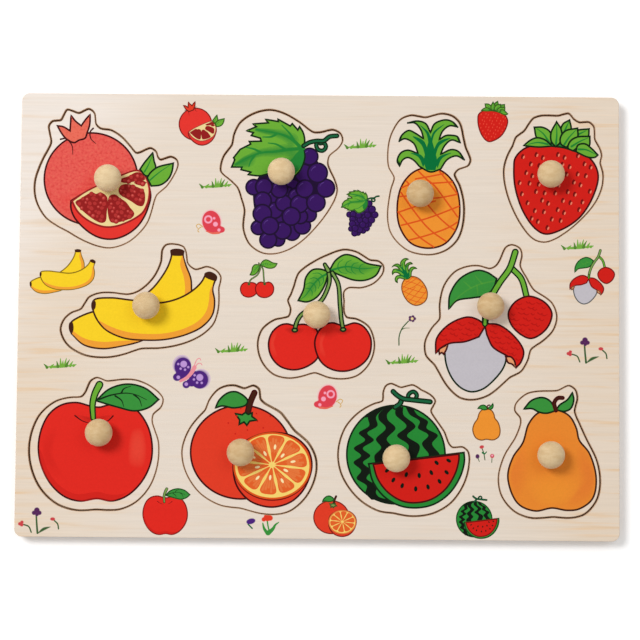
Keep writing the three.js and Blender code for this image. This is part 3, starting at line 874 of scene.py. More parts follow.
def draw_banana(art, inks):
    """Two crossed bananas with brown caps."""
    back = [
        (-74, 31.8, TIP), (-73.8, 29.5), (-75.5, 24), (-79, 18), (-84, 12), (-96, 4), (-112.5, 1),
        (-118, -1), (-122.5, -3.5), (-124, -5, TIP), (-123.2, -10, TIP), (-117, -15.5), (-108, -17.4),
        (-98, -16), (-87.5, -13), (-74, -4), (-63.5, 9), (-63.6, 13), (-64, 18), (-66.5, 24.5),
        (-68, 29.5), (-67.8, 31.5, TIP),
    ]
    back_shade = [
        (-68.4, 30, TIP), (-66.9, 24.5), (-64.4, 18), (-64, 13), (-63.9, 9, TIP), (-66.6, 9), (-66.8, 14),
        (-67.6, 19), (-69.4, 25),
    ]
    low_shade = [
        (-123.4, -8, TIP), (-117, -12.2), (-108, -14), (-98, -13.4), (-87.5, -13, TIP), (-98, -15.7),
        (-108, -17), (-117, -15.1), (-123, -10, TIP),
    ]
    back_caps = [
        [(-74.3, 32.2), (-71, 33), (-67.6, 32), (-67.9, 29.7), (-71, 29.3), (-74, 29.8)],
        [(-124.3, -4.8), (-122.8, -4.4), (-122.2, -8), (-123.2, -10.3), (-124.5, -8)],
    ]
    draw_one_banana(art, inks, back, [back_shade, low_shade], back_caps)
    front = [
        (-113, 4.5), (-112, 7), (-104, 8), (-94, 7), (-79.5, 5.7), (-70, 8), (-63, 12), (-58.5, 16.5),
        (-56.5, 20.5, TIP), (-51.5, 18, TIP), (-53, 13), (-52, 7), (-53, 0), (-58, -6), (-66, -10),
        (-76, -12.5), (-86, -13), (-97, -12), (-106, -8), (-110.5, -3), (-112.5, 1.5),
    ]
    front_shade = [
        (-52.8, 15.5, TIP), (-53.3, 12), (-52.4, 7), (-53.4, 0), (-58.2, -5.6), (-66, -9.6), (-76, -12.1),
        (-86, -12.6), (-97, -11.6), (-106, -7.6), (-110.2, -3, TIP), (-104, -6.2), (-96, -8.8),
        (-86, -9.9), (-76, -9.4), (-67, -7), (-60, -3.2), (-56.2, 1.5), (-54.8, 7), (-54.4, 12),
    ]
    front_caps = [
        [(-57.2, 20.6), (-54.5, 21.6), (-50.9, 19.4), (-51.3, 16.9), (-54, 17.4), (-56.9, 18.9)],
        [(-113.6, 4.6), (-112.6, 7), (-111.4, 6), (-111.6, 2.6), (-112.9, 1.6)],
    ]
    draw_one_banana(art, inks, front, [front_shade], front_caps)


def draw_cherry(art, inks):
    """Two cherries on long stems with two leaves."""
    left = [
        (-24.8, -14), (-23, -8.5), (-19, -5), (-15.5, -4.3), (-12.5, -5), (-7, -4.5), (-1, -7), (0, -14),
        (-0.3, -21), (-5, -25.2), (-12, -27.2), (-19, -25.5), (-23.5, -20.5),
    ]
    right = [
        (-1.8, -14), (0, -8), (3.5, -4.5), (7, -3.6), (12.5, -5), (18, -3.6), (22, -5), (25.5, -9.5),
        (26.4, -14), (25, -20.5), (20, -25.5), (13, -27.7), (6, -26.5), (1, -22.5),
    ]
    for cherry, x in ((left, -12), (right, 12.3)):
        art.shape(cherry, inks.berry, inks.line)
        edge_light = [
            (x - 12, -14), (x - 10.5, -8.5), (x - 8.5, -8), (x - 10, -14), (x - 8.5, -21), (x - 11, -20),
        ]
        art.soft(edge_light, (x - 11, -14), inks.berry_light, 0.5)
        dip = [(x - 5, -7), (x, -5.8), (x + 5, -7), (x + 2.5, -9.2), (x, -9.8), (x - 2.5, -9.2)]
        art.soft(dip, (x, -7.2), inks.seed_dark, 0.5)
    leaves = [
        ([(4.9, 21.8, TIP), (1, 23.2), (-3.3, 22.8), (-6.5, 19), (-7.6, 13), (-10.2, 7.4, TIP), (-5.7, 6.8),
          (-1, 9.2), (2.6, 14.5)],
         [(3.8, 20.8), (0.2, 18.6), (-3.4, 14.6), (-6.4, 10.2), (-9, 8)],
         [(3.6, 20.8), (-1.6, 21), (-6, 15), (-8.6, 8.4), (-4, 9.4), (0.8, 15)]),
        ([(5.3, 22.7, TIP), (8.4, 27.8), (13, 30.6), (18.1, 29.6), (23.8, 26.4), (31, 25, TIP), (28.5, 20.4),
          (23.8, 18), (18.1, 17.8), (11.7, 19.8)],
         [(6.4, 22.9), (13.8, 24.6), (20.9, 23.6), (29.6, 24.4)],
         [(7, 22.9), (13, 27.6), (21, 26.6), (28.6, 24.2), (22, 20.6), (13, 20.8)]),
    ]
    for outline, rib, shade in leaves:
        art.shape(outline, inks.leaf, inks.leaf_line)
        art.soft(shade, rib[2], inks.leaf_mid, 0.6)
        art.brush(rib, 1.1, inks.leaf_mid, 0.3)
        for vein in side_veins(rib, 3.6, (0.14, 0.3, 0.46, 0.62)):
            art.brush(vein, 0.6, inks.leaf_mid, 0.25, smooth_loop(outline))
    stems = [
        [(4.9, 21.5), (5.3, 17.4), (3.9, 12.3), (1.1, 7.3), (-4, 3.4), (-8.8, 0.1), (-10.9, -3.5),
         (-11.8, -7.4)],
        [(6.7, 21.5), (9.6, 16), (10.7, 5.2), (11.4, -2), (12.3, -6.9)],
    ]
    for stem in stems:
        art.lined(stem, 1.0, inks.stem_olive, inks.leaf_line)
        art.disc(stem[-1], 1.3, inks.stem_olive, inks.leaf_line, 0.9)
    art.lined([(2.9, 25.6), (4.6, 22.6)], 0.7, inks.stem_olive, inks.leaf_line, 1.3)


def draw_scales(art, inks, skin):
    """Short wavy marks over a lychee's skin."""
    if art.small:
        return
    loop = smooth_loop(skin)
    for number, (x, y) in enumerate(spread_in(loop, 3.1)):
        reach = 1.15 + 0.35 * math.sin(1.9 * number)
        mark = np.array([(x - reach, y + 0.4), (x, y - 0.35), (x + reach, y + 0.3)])
        if held_by(loop, mark).all():
            art.put(brush_loop(mark, 0.65, 0.35, art.step), inks.scale_red, 0.7)


def draw_lychee(art, inks):
    """A whole lychee behind a half peeled one, with stem and leaf."""
    foliage = [
        (88.8, 19.2, TIP), (84, 22.3), (79, 23.2), (70.5, 19), (65.5, 11), (64.9, 3.7, TIP), (69, 8),
        (77, 9.5), (82.5, 10.5), (87, 14),
    ]
    ribs = [
        [(87.5, 18), (79, 15.8), (71, 11), (66, 5.5)], [(81.5, 16.6), (78, 20.6)], [(76, 14.4), (72.4, 17.6)],
        [(79, 15.6), (79.4, 11.4)],
    ]
    art.shape(foliage, inks.leaf_deep, inks.leaf_line)
    for rib in ribs:
        art.put(brush_loop(rib, 0.8, 0.4, art.step), inks.leaf, 0.25)
    art.lined([(96.6, 24.2), (101, 19.4), (103.9, 9.8)], 1.8, inks.leaf, inks.leaf_line)
    main_stem = [(98.1, 32.6), (95.3, 24.4), (90.3, 17.2), (86.2, 10), (83.6, 2), (83, -4)]
    art.lined(main_stem, 2.0, inks.stem_olive if art.small else inks.leaf, inks.leaf_line)
    whole = [
        (104, 10.4), (109, 9.6), (114, 6.4), (116.4, 1.8), (114.5, -4.5), (110, -9), (105.5, -10.6),
        (100, -8), (96, -3.5), (94.7, 2), (98, 7.5),
    ]
    art.shape(whole, inks.ripe, inks.line)
    draw_scales(art, inks, whole)
    flesh = [
        (64, -14), (63.3, -21), (66, -29.5), (70.5, -35), (76, -37.4), (82, -36), (88, -31), (92.4, -25),
        (93.5, -20), (90, -14), (86, -9), (83, -4.8, TIP), (78, -9), (72, -10.5),
    ]
    art.shape(flesh, inks.flesh, inks.leaf_line)
    peels = [
        [(83.4, -4.2, TIP), (79, -1.2), (74, -0.2), (65, -4), (59, -11), (58.5, -18.5, TIP), (60.8, -16),
         (65.5, -13.4), (73, -12.5), (80, -10, TIP)],
        [(82.8, -3.4, TIP), (90, -4), (98, -10), (102.3, -17), (101, -22.4), (98.6, -25.2, TIP),
         (97.4, -21.8), (94.4, -19.6), (87, -15), (84, -9, TIP)],
    ]
    tips = [
        [(64.6, -13.9, TIP), (63.6, -17), (62.4, -18.8, TIP), (61.6, -18), (60.4, -18.8, TIP), (60.2, -16.6)],
        [(93.4, -19.8, TIP), (94.6, -22.8), (96.4, -23.4), (98.4, -25.2, TIP), (97.8, -22), (96, -19.9)],
    ]
    for peel, tip in zip(peels, tips):
        art.shape(peel, inks.ripe, inks.line)
        draw_scales(art, inks, peel)
        art.shape(tip, inks.peel_tip, inks.line)
    art.lined([(83.2, 0.2), (83, -3.6)], 1.1, inks.leaf, inks.leaf_line, 1.5)


def draw_apple(art, inks):
    """A red apple with a stem and one leaf."""
    body = [
        (-113.4, -46), (-120, -44.4), (-127.5, -45.6), (-133.4, -50), (-137.3, -57.6), (-138.7, -67),
        (-137, -76), (-132, -85.2), (-125, -91.2), (-117.5, -93.2), (-109.4, -91.9), (-101.5, -93),
        (-94, -90.2), (-87, -83.2), (-82.8, -74), (-82.2, -65), (-84.6, -55.6), (-90.2, -47.9),
        (-96, -45.4), (-103.8, -45.4), (-108.6, -46.6),
    ]
    art.shape(body, inks.berry, inks.line)
    shade = [
        (-138.4, -67, TIP), (-137.4, -76), (-129.4, -87.5), (-117, -93.3), (-109, -92.4), (-101, -92.9),
        (-86, -82.4, TIP), (-95, -89), (-102, -89.9), (-109, -88.6), (-119.5, -89.7), (-128, -85.4),
        (-134, -77.5), (-136.8, -70),
    ]
    art.put(smooth_loop(shade, art.step), inks.berry_deep, 0.5)
    left_side = [(-137, -62), (-130, -56), (-131, -70), (-126, -82), (-133, -80)]
    art.soft(left_side, (-134.5, -70), inks.berry_deep, 0.35)
    right_side = [(-93, -75), (-87, -76), (-85, -66), (-88, -57), (-92, -58)]
    art.soft(right_side, (-89.4, -66), inks.berry_light, 0.8)
    dip = [
        (-122, -50, TIP), (-116, -54.2), (-111.5, -55.2), (-106, -54), (-100.5, -50, TIP), (-106, -50.6),
        (-112, -51.4),
    ]
    art.soft(dip, (-111.3, -52.6), inks.seed_dark, 0.35)
    creases = [
        [(-120.8, -50.9), (-117.2, -53.4), (-113, -54.8)], [(-101.8, -50.9), (-104, -53.1), (-107, -54.5)],
    ]
    for crease in creases:
        art.brush(crease, 0.7, inks.line, 0.3)
    foliage = [
        (-110.4, -43.4, TIP), (-104, -37.6), (-95, -35), (-86, -37), (-79.2, -42.5, TIP), (-84, -46.5),
        (-91, -48.3), (-100, -46.4),
    ]
    ribs = [
        [(-109.6, -43), (-103.1, -40.6), (-95.9, -39.5), (-90.9, -40.2), (-85.2, -42.7)],
        [(-100.9, -40.9), (-97.7, -43.2), (-96.4, -47)], [(-91.6, -40.2), (-88.9, -42.5), (-87.6, -46)],
        [(-97.9, -39.5), (-96.7, -37.4), (-93.2, -36)],
    ]
    leaf(art, foliage, inks.leaf_deep, ribs, inks.leaf_line, inks.leaf_line, 0.9)
    stem = [(-108.8, -35.4), (-111, -40), (-112.1, -45), (-111.7, -52)]
    art.lined(stem, 2.5, inks.stem_olive if art.small else inks.leaf, inks.leaf_line, 1.5)


ORANGE_CORE = (-22.4, -74.5)
ORANGE_WEDGES = 10


def draw_orange(art, inks):
    """A whole orange behind a cut half."""
    art.disc((-38, -68.3), 25, inks.orange, inks.line, 23.2)
    art.lined([(-31.6, -38.8), (-33.5, -43.3), (-35.3, -51)], 1.7, inks.stem_brown, inks.line)
    foliage = [
        (-50.9, -46.5, TIP), (-49.1, -42.6), (-44.7, -38.9), (-40.3, -38.5), (-35, -42.5), (-35.8, -44.9),
        (-41.7, -46.4), (-47.6, -45.5),
    ]
    art.shape(foliage, inks.leaf_deep, inks.leaf_line)
    calyx = [
        (-41, -49.2, TIP), (-37.6, -49.8, TIP), (-36, -48.6, TIP), (-34.6, -49.6, TIP),
        (-32.6, -48.8, TIP), (-32.7, -50.6, TIP), (-30.2, -52.4, TIP), (-33.8, -52.9, TIP),
        (-35.2, -55, TIP), (-36.6, -53.4, TIP), (-39, -54.6, TIP), (-38.8, -52.4, TIP),
    ]
    art.shape(calyx, inks.stem_olive if art.small else inks.leaf_deep, inks.leaf_line)
    for freckle in range(9):
        angle = 2.4 * freckle
        reach = 5.5 + freckle * 0.9
        art.disc((-35.5 + reach * math.cos(angle), -53 + reach * 0.6 * math.sin(angle)), 0.4, inks.berry_deep)
    rind = [
        (-41.7, -75.8), (-40, -66.9), (-32, -60.8), (-22, -58.5), (-11.5, -60.6), (-4.6, -67),
        (-2.7, -74.5), (-4.4, -82), (-8, -88.4), (-13.8, -93.2), (-22.7, -95.4), (-32.3, -93),
        (-37.5, -88.6), (-40.5, -83.5),
    ]
    art.shape(rind, inks.orange, inks.line)
    art.disc((-22.4, -75.4), 19.4, inks.seed_dark, None, 16.9)
    art.disc((-22.4, -75), 18.9, inks.pith, inks.lattice, 16.2)
    for wedge in range(ORANGE_WEDGES):
        draw_wedge(art, inks, wedge)


def from_core(reach, angle):
    """A place on the cut face, a way out from its core; the face is seen a little flattened."""
    return (ORANGE_CORE[0] + reach * math.cos(angle), ORANGE_CORE[1] + reach * 0.85 * math.sin(angle))


def draw_wedge(art, inks, wedge):
    """One wedge of the cut orange with light streaks and a pip."""
    turn = 2 * math.pi / ORANGE_WEDGES
    middle = (wedge + 0.3) * turn
    corners = [
        (1.6, 0), (9, -0.37), (15.8, -0.42), (17.1, -0.3), (17.3, 0), (17.1, 0.3), (15.8, 0.42),
        (9, 0.37),
    ]
    art.shape([from_core(reach, middle + part * turn) for reach, part in corners], inks.pulp)
    if art.small:
        return
    for number, part in enumerate((-0.3, -0.15, 0.0, 0.16, 0.31)):
        start = 7.5 + 2.2 * math.sin(3.1 * number + 1.7 * wedge)
        end = 14.4 + 1.4 * math.sin(2.3 * number + wedge)
        streak = [from_core(start, middle + part * turn), from_core(end, middle + part * turn)]
        art.put(brush_loop(streak, 0.5, 1.1), inks.pulp_light, 0.45)
    reach = 10.5 - 3.0 * (wedge % 2)
    art.disc(from_core(reach, middle), 1.3, inks.pip, None, 0.6, math.degrees(middle))


MELON_STRIPES = (
    ([(31, -46), (27, -50.4), (27.7, -54.6), (22.6, -58.4), (25.8, -61.8), (20.3, -66), (24, -69.6),
      (20.3, -73), (24.2, -77), (22, -80.8), (27.2, -84.6), (26.6, -88), (29.6, -91.4)], 3.4, 4.6),
    ([(35.8, -45.5), (32.4, -49), (32.6, -51.6), (36.3, -55.8), (31.7, -61.4), (34.5, -65.6), (31.4, -69.6),
      (32.2, -74)], 3.4, 5.6),
    ([(40.7, -45.3), (40.6, -49), (46.4, -54.8), (42, -59.5), (48, -64.4), (46, -71)], 3.2, 5.2),
    ([(45.5, -45.5), (47.6, -49), (52.8, -52.4), (52, -55.6), (57.4, -59.2), (54.4, -63.4), (58, -68.6),
      (57.8, -70)], 3.0, 4.8),
)


def draw_watermelon(art, inks):
    """A striped watermelon with a vine, behind a red wedge with seeds."""
    centre, radius = (39, -68.9), 24.4
    art.disc(centre, radius, inks.melon, inks.leaf_line)
    for stripe, width, end_width in MELON_STRIPES:
        bold = 1.3 if art.small else 1.15
        art.put(wave_loop(stripe, width * bold, end_width * bold), inks.black)
    for from_angle, to_angle, depth in ((92, 132, 1.3), (232, 275, 1.8)):
        turns = np.radians(np.linspace(from_angle, to_angle, 9))
        outer = [(centre[0] + radius * math.cos(a), centre[1] + radius * math.sin(a)) for a in turns]
        hollow = radius - depth
        inner = [(centre[0] + hollow * math.cos(a), centre[1] + hollow * math.sin(a)) for a in turns[-2:0:-1]]
        art.shape([(*outer[0], TIP), *outer[1:-1], (*outer[-1], TIP), *inner], inks.black)
    vines = [
        ([(44.8, -41.4), (45.2, -38.9), (47.6, -37.6), (49.2, -39.2), (48.5, -41.7)], 0.8),
        ([(41.8, -41), (40.9, -43.6), (38.5, -45.4)], 1.3),
        ([(37.4, -37.6), (39.6, -39.6), (42.4, -41.1), (47, -41.7), (55.9, -42.6)], 1.2),
    ]
    for vine, width in vines:
        art.lined(vine, width, inks.tendril, inks.leaf_line)
    outer = [
        (25.5, -73.6, TIP), (27.5, -82), (33, -89.5), (40.5, -94), (48.5, -95.2), (57.5, -93.5),
        (65.5, -88), (71, -79.5), (73, -72), (72.8, -67.6, TIP),
    ]
    art.shape(outer, inks.melon, inks.leaf_line)
    flesh = [
        (27.7, -73.8, TIP), (30, -81), (35, -87.5), (42, -91.8), (48.5, -92.7), (56.5, -91), (63.5, -86),
        (68.5, -78), (70.3, -71), (70.3, -68.4, TIP),
    ]
    art.shape(flesh, inks.ripe, inks.line)
    seeds = [
        (59.2, -72.8), (65.2, -71.7), (34.7, -76.8), (44.2, -78.8), (50.6, -79.2), (56.6, -77.7),
        (64.2, -77.5), (37.8, -81.5), (60.7, -82), (42.2, -84.3), (48.9, -85.8), (55, -84.8),
    ]
    for x, y in seeds:
        slant = math.degrees(math.atan2(y + 62, x - 49))
        art.disc((x, y), 1.35, inks.black, None, 0.85, slant)


def draw_pear(art, inks):
    """A golden pear with two leaves and a curled stem."""
    body = [
        (119, -46.3), (125, -49), (128.5, -55), (130, -61), (135, -67.5), (138.4, -80), (136.5, -90),
        (130, -95), (124, -95.8), (116.5, -94.7), (108, -96.2), (99.5, -92.5), (94.6, -80), (97, -70),
        (102, -62.5), (105, -53), (110, -47.5),
    ]
    art.shape(body, inks.pineapple if art.small else inks.pear, inks.stem_brown)
    right_side = [(130, -63), (136.5, -72), (137.5, -84), (132, -93), (124, -94), (130, -82), (128, -70)]
    art.soft(right_side, (136, -80), inks.pear_shade, 0.6)
    low_light = [(104, -82), (110, -93), (124, -92), (130, -82), (117, -76)]
    art.soft(low_light, (117, -88), inks.pineapple, 0.7)
    left_side = [(103, -64), (97.5, -72), (95.6, -81), (99.6, -91), (104, -82), (105, -70)]
    art.soft(left_side, (97, -78), inks.pear_shade, 0.5)
    leaves = [
        [(102.5, -45.8, TIP), (106.3, -41.5), (111.6, -40), (115.5, -41.7), (118.4, -46.5, TIP),
         (113.7, -47.8), (109.8, -47.2), (106.6, -45.6)],
        [(126.6, -37.4, TIP), (127.3, -41), (125.8, -45.3), (122.6, -46.8), (118.7, -46.1, TIP),
         (120.1, -43.8), (124.2, -40.9)],
    ]
    for outline in leaves:
        art.shape(outline, inks.leaf_deep, inks.leaf_line)
    stem = [(118.4, -46.4), (117.6, -42.5), (119.4, -40.2), (121.8, -40.1)]
    art.lined(stem, 0.6, inks.stem_brown, inks.line)


DRAWINGS = {
    "pomegranate": draw_pomegranate,
    "grape": draw_grape,
    "pineapple": draw_pineapple,
    "strawberry": draw_strawberry,
    "banana": draw_banana,
    "cherry": draw_cherry,
    "lychee": draw_lychee,
    "apple": draw_apple,
    "orange": draw_orange,
    "watermelon": draw_watermelon,
    "pear": draw_pear,
}

# Small printed copies on the board: fruit, size against the big one, turn, and middle

SMALL_FRUITS = (
    ("pomegranate", 0.35, 0, (-59.5, 96.3)),
    ("strawberry", 0.355, 0, (86.7, 98.4)),
    ("grape", 0.355, 0, (20.4, 51.6)),
    ("banana", 0.445, 0, (-128.1, 21.0)),
    ("cherry", 0.325, 0, (-30.0, 18.2)),
    ("pineapple", 0.37, 30, (45.4, 17.2)),
    ("lychee", 0.385, 0, (136.5, 20.5)),
    ("pear", 0.31, 0, (83.9, -52.2)),
    ("apple", 0.39, 0, (-74.6, -97.9)),
    ("orange", 0.35, 0, (9.0, -99.6)),
    ("watermelon", 0.36, 0, (79.7, -99.5)),
)
GRASS_TUFTS = ((-52.2, 66), (20.3, 86.5), (129.2, 36.5), (-128.5, -25), (-43.2, -16.5), (41.8, -21.5))

# Blades of a grass tuft: where the foot stands, and where the tip is across and up

GRASS_BLADES = (
    (-6.6, -8.2, 1.7), (-4.6, -3.2, 1.5), (0.2, 0, 4), (-1.2, -1.8, 2.7), (1.2, 1.3, 2.8), (2.2, 3, 3.9),
    (3, 4.6, 3.2), (5, 6.2, 2.2), (6.6, 8, 0.5),
)


def draw_grass(art, inks, middle):
    """A low tuft of grass on a sliver of sloping ground."""
    x, y = middle
    ground = [
        (x - 7.4, y - 1.7, TIP), (x - 3, y - 2.2), (x + 3, y - 1.7), (x + 7.4, y - 0.8, TIP), (x, y - 0.9),
    ]
    art.shape(ground, inks.grass)
    for number, (foot, tip, rise) in enumerate(GRASS_BLADES):
        low = y - 1.5 + foot * 0.08
        bend = [(x + foot, low), (x + foot * 0.6 + tip * 0.4, low + rise * 0.5), (x + tip, low + rise)]
        art.brush(bend, 1.5, inks.grass_deep if number % 3 == 0 else inks.grass, 0.3)


def draw_pink_butterfly(art, inks, middle, facing):
    """A plump pink butterfly from the side; facing is 1 to the left and -1 to the right."""
    x, y = middle

    def at(ahead, up):
        return (x - ahead * facing, y + up)

    art.put(disc_loop(at(0, 0.2), 5.2, 6.2, 12 * facing), inks.blush, 0.4)
    art.disc(at(0, 0), 4.5, inks.pink, None, 5.6, 12 * facing)
    art.disc(at(-3, -3.8), 2.7, inks.pink, None, 2.2)
    art.disc(at(-5, -3.9), 1.7, inks.pink, None, 1.5)
    art.brush([at(-3.8, -5.5), at(-0.5, -5.8), at(2.6, -4.7)], 1.2, inks.crown, 0.5)
    art.disc(at(1.6, 1.2), 2.0, inks.blush)
    art.disc(at(1.6, 1.2), 1.15, inks.pink)
    for ahead, up, radius in ((-1.3, 1.8, 0.55), (-2.0, -1.2, 1.1), (-3.8, -4.1, 0.7)):
        art.disc(at(ahead, up), radius, inks.blush)
    feelers = (
        [(4.4, -2.6), (6.3, -1.2), (7.6, -2.0), (6.9, -3.3)],
        [(5.2, -2.7), (6.5, -3.7), (6.7, -4.9), (6.1, -5.2)],
    )
    for feeler in feelers:
        art.brush([at(*place) for place in feeler], 0.5, inks.ochre, 0.4)


def draw_violet_butterfly(art, inks):
    """A violet butterfly with lilac spots and a pale fringe."""
    upper_wings = ((-67.4, -26.1, 4.1, 4.5, -0.5, 0.8), (-59, -32.5, 4.2, 4.4, 0.7, 0.4))
    for x, y, wide, tall, aside, up in upper_wings:
        art.put(disc_loop((x + aside, y + up), wide + 0.6, tall + 0.6), inks.lilac, 0.5)
        art.put(disc_loop((x + aside / 2, y + up / 2), wide + 0.3, tall + 0.3), inks.violet, 0.35)
        art.disc((x, y), wide, inks.violet, None, tall)
    lower_wings = (
        (-67.8, -29.9, 3.1, 2.6), (-70.2, -31.3, 2.0, 1.9), (-66.4, -29.2, 3.2, 2.6), (-63, -33.9, 2.6, 2.0),
        (-61.8, -31, 2.6, 2.8),
    )
    for x, y, wide, tall in lower_wings:
        art.disc((x, y), wide, inks.violet, None, tall)
    art.disc((-65.6, -35), 1.8, inks.violet)
    big_spots = ((-67, -24.8, 1.6), (-58.9, -31.4, 1.65), (-69.6, -31.4, 0.8), (-65.6, -34.8, 0.8))
    small_spots = (
        (-69.7, -24.8), (-68.5, -27.1), (-66.3, -27.6), (-64.7, -26.3), (-61.5, -30.3), (-61.8, -32.4),
        (-60.2, -34), (-57.9, -34.1),
    )
    for x, y, radius in (*big_spots, *((x, y, 0.5) for x, y in small_spots)):
        art.disc((x, y), radius, inks.lilac)
    art.brush([(-61.6, -26.4), (-63, -29), (-65.3, -31.5), (-68.5, -33.3)], 2.2, inks.rose, 1.3)
    feelers = (
        [(-61.8, -25.8), (-60.4, -22.5), (-59.1, -21.8), (-58.5, -22.8)],
        [(-61.1, -26), (-59.9, -24.5), (-58.4, -24.4), (-57.9, -25.2)],
    )
    for feeler in feelers:
        art.brush(feeler, 0.5, inks.rose, 0.4)


def draw_flower_row(art, inks, shift):
    """Three small flowers on bent stems."""

    def at(x, y, *tip):
        return (x + shift[0], y + shift[1], *tip)

    blade = [at(-138.6, -109.6, TIP), at(-135.6, -106.6), at(-131.8, -106, TIP), at(-135.2, -107.8)]
    art.brush([at(-139.2, -99.5), at(-138.9, -104), at(-138.4, -109.2)], 0.8, inks.flower_stem, 1.0)
    art.shape(blade, inks.flower_stem)
    art.brush([at(-145.5, -105), at(-142.8, -106), at(-141.5, -108.8)], 0.7, inks.flower_stem)
    art.brush([at(-130.3, -102.8), at(-128.5, -104.6), at(-128, -107)], 0.7, inks.flower_stem)
    petals = ((-138.9, -97.9, 1.3), (-140.3, -99.2, 1.0), (-137.6, -99.2, 1.0), (-138.8, -100, 0.8))
    for x, y, radius in petals:
        art.disc(at(x, y), radius, inks.plum)
    for x, y in ((-147.3, -104.7), (-146.2, -103.9), (-146.3, -105.2)):
        art.disc(at(x, y), 0.75, inks.poppy)
    art.disc(at(-131, -102.2), 1.15, inks.poppy, None, 0.75)


def draw_low_flowers(art, inks):
    """The small flowers below the orange, below the pear's copy and in the middle."""
    art.brush([(-34, -104), (-33, -105), (-32, -106)], 0.7, inks.tendril)
    art.disc((-32.7, -102.5), 2.2, inks.violet, None, 1.3, 15)
    art.brush([(-24.6, -102), (-24.3, -104), (-23.8, -106.5)], 0.7, inks.leaf_deep)
    art.brush([(-24.3, -108.4), (-26, -106.2), (-26.8, -103.4)], 2.0, inks.leaf_deep, 0.6)
    art.brush([(-24, -108.2), (-21.6, -106), (-20.6, -104.2), (-18.9, -102.9)], 2.4, inks.leaf_deep, 0.5)
    for x, y, radius in ((-24.5, -100.5, 1.8), (-26.3, -101.5, 1.0), (-23.2, -100.8, 1.3)):
        art.disc((x, y), radius, inks.orange)
    art.brush([(44.8, -2.5), (41.8, -6), (40.3, -10), (40.2, -14.5)], 0.6, inks.flower_stem)
    art.brush([(41.5, -6.7), (43, -6), (45.5, -5.9)], 0.5, inks.flower_stem, 0.2)
    for petal in range(5):
        angle = 2 * math.pi * petal / 5
        art.disc((46.7 + 1.2 * math.cos(angle), -1.2 + 1.0 * math.sin(angle)), 0.7, inks.plum)
    art.disc((46.7, -1.2), 0.6, inks.cream)
    art.brush([(81.6, -65.2), (82.6, -67.8), (83.2, -71.2)], 0.5, inks.flower_stem)
    art.brush([(82, -67.6), (83, -68.2), (84, -67.2)], 0.9, inks.leaf_vein, 0.5)
    art.disc((81.6, -64.8), 1.05, inks.poppy, None, 0.75, 15)
    art.disc((79.5, -69.5), 0.9, inks.plum, None, 1.05)
    art.brush([(79.8, -70.4), (80.4, -72)], 0.4, inks.flower_stem)
    art.brush([(86.7, -70), (86.6, -72.4)], 0.4, inks.flower_stem)
    art.disc((86.8, -69.2), 0.95, inks.poppy)
    art.disc((86.8, -69), 0.4, inks.blush)


def small_fruit(fruit, scale, turn, middle, inks):
    """A small copy of a fruit, centred on a place of the board."""
    art = Art(scale, turn)
    DRAWINGS[fruit](art, inks)
    spots = np.vstack([loop for loop, _ in art.layers])
    shift = np.array(middle) - (spots.min(axis=0) + spots.max(axis=0)) / 2
    return [(loop + shift, ink) for loop, ink in art.layers]


def board_art(inks):
    """All figures printed on the board round the recesses."""
    art = Art(halo=HALO)
    for middle in GRASS_TUFTS:
        draw_grass(art, inks, middle)
    draw_pink_butterfly(art, inks, (-54, 46.6), 1)
    draw_pink_butterfly(art, inks, (4.8, -40.4), -1)
    draw_violet_butterfly(art, inks)
    draw_flower_row(art, inks, (0, 0))
    draw_flower_row(art, inks, (271.8, 86.7))
    draw_low_flowers(art, inks)
    layers = list(art.layers)
    for small in SMALL_FRUITS:
        layers.extend(small_fruit(*small, inks))
    return layers


# Finishes


class Wire:
    """An output socket in a material; arithmetic with it adds Math nodes."""

    def __init__(self, finish, socket):
        self.finish = finish
        self.socket = socket

    def math(self, operation, first, second=0.0):
        """Adds one Math node."""
        return self.finish.add("ShaderNodeMath", {"operation": operation}, {0: first, 1: second})

    def __add__(self, other):
        return self.math("ADD", self, other)

    __radd__ = __add__

    def __sub__(self, other):
        return self.math("SUBTRACT", self, other)

    def __rsub__(self, other):
        return self.math("SUBTRACT", other, self)

    def __mul__(self, other):
        return self.math("MULTIPLY", self, other)

    __rmul__ = __mul__

    def __truediv__(self, other):
        return self.math("DIVIDE", self, other)

    def __mod__(self, other):
        return self.math("FLOORED_MODULO", self, other)

    def __gt__(self, other):
        return self.math("GREATER_THAN", self, other)


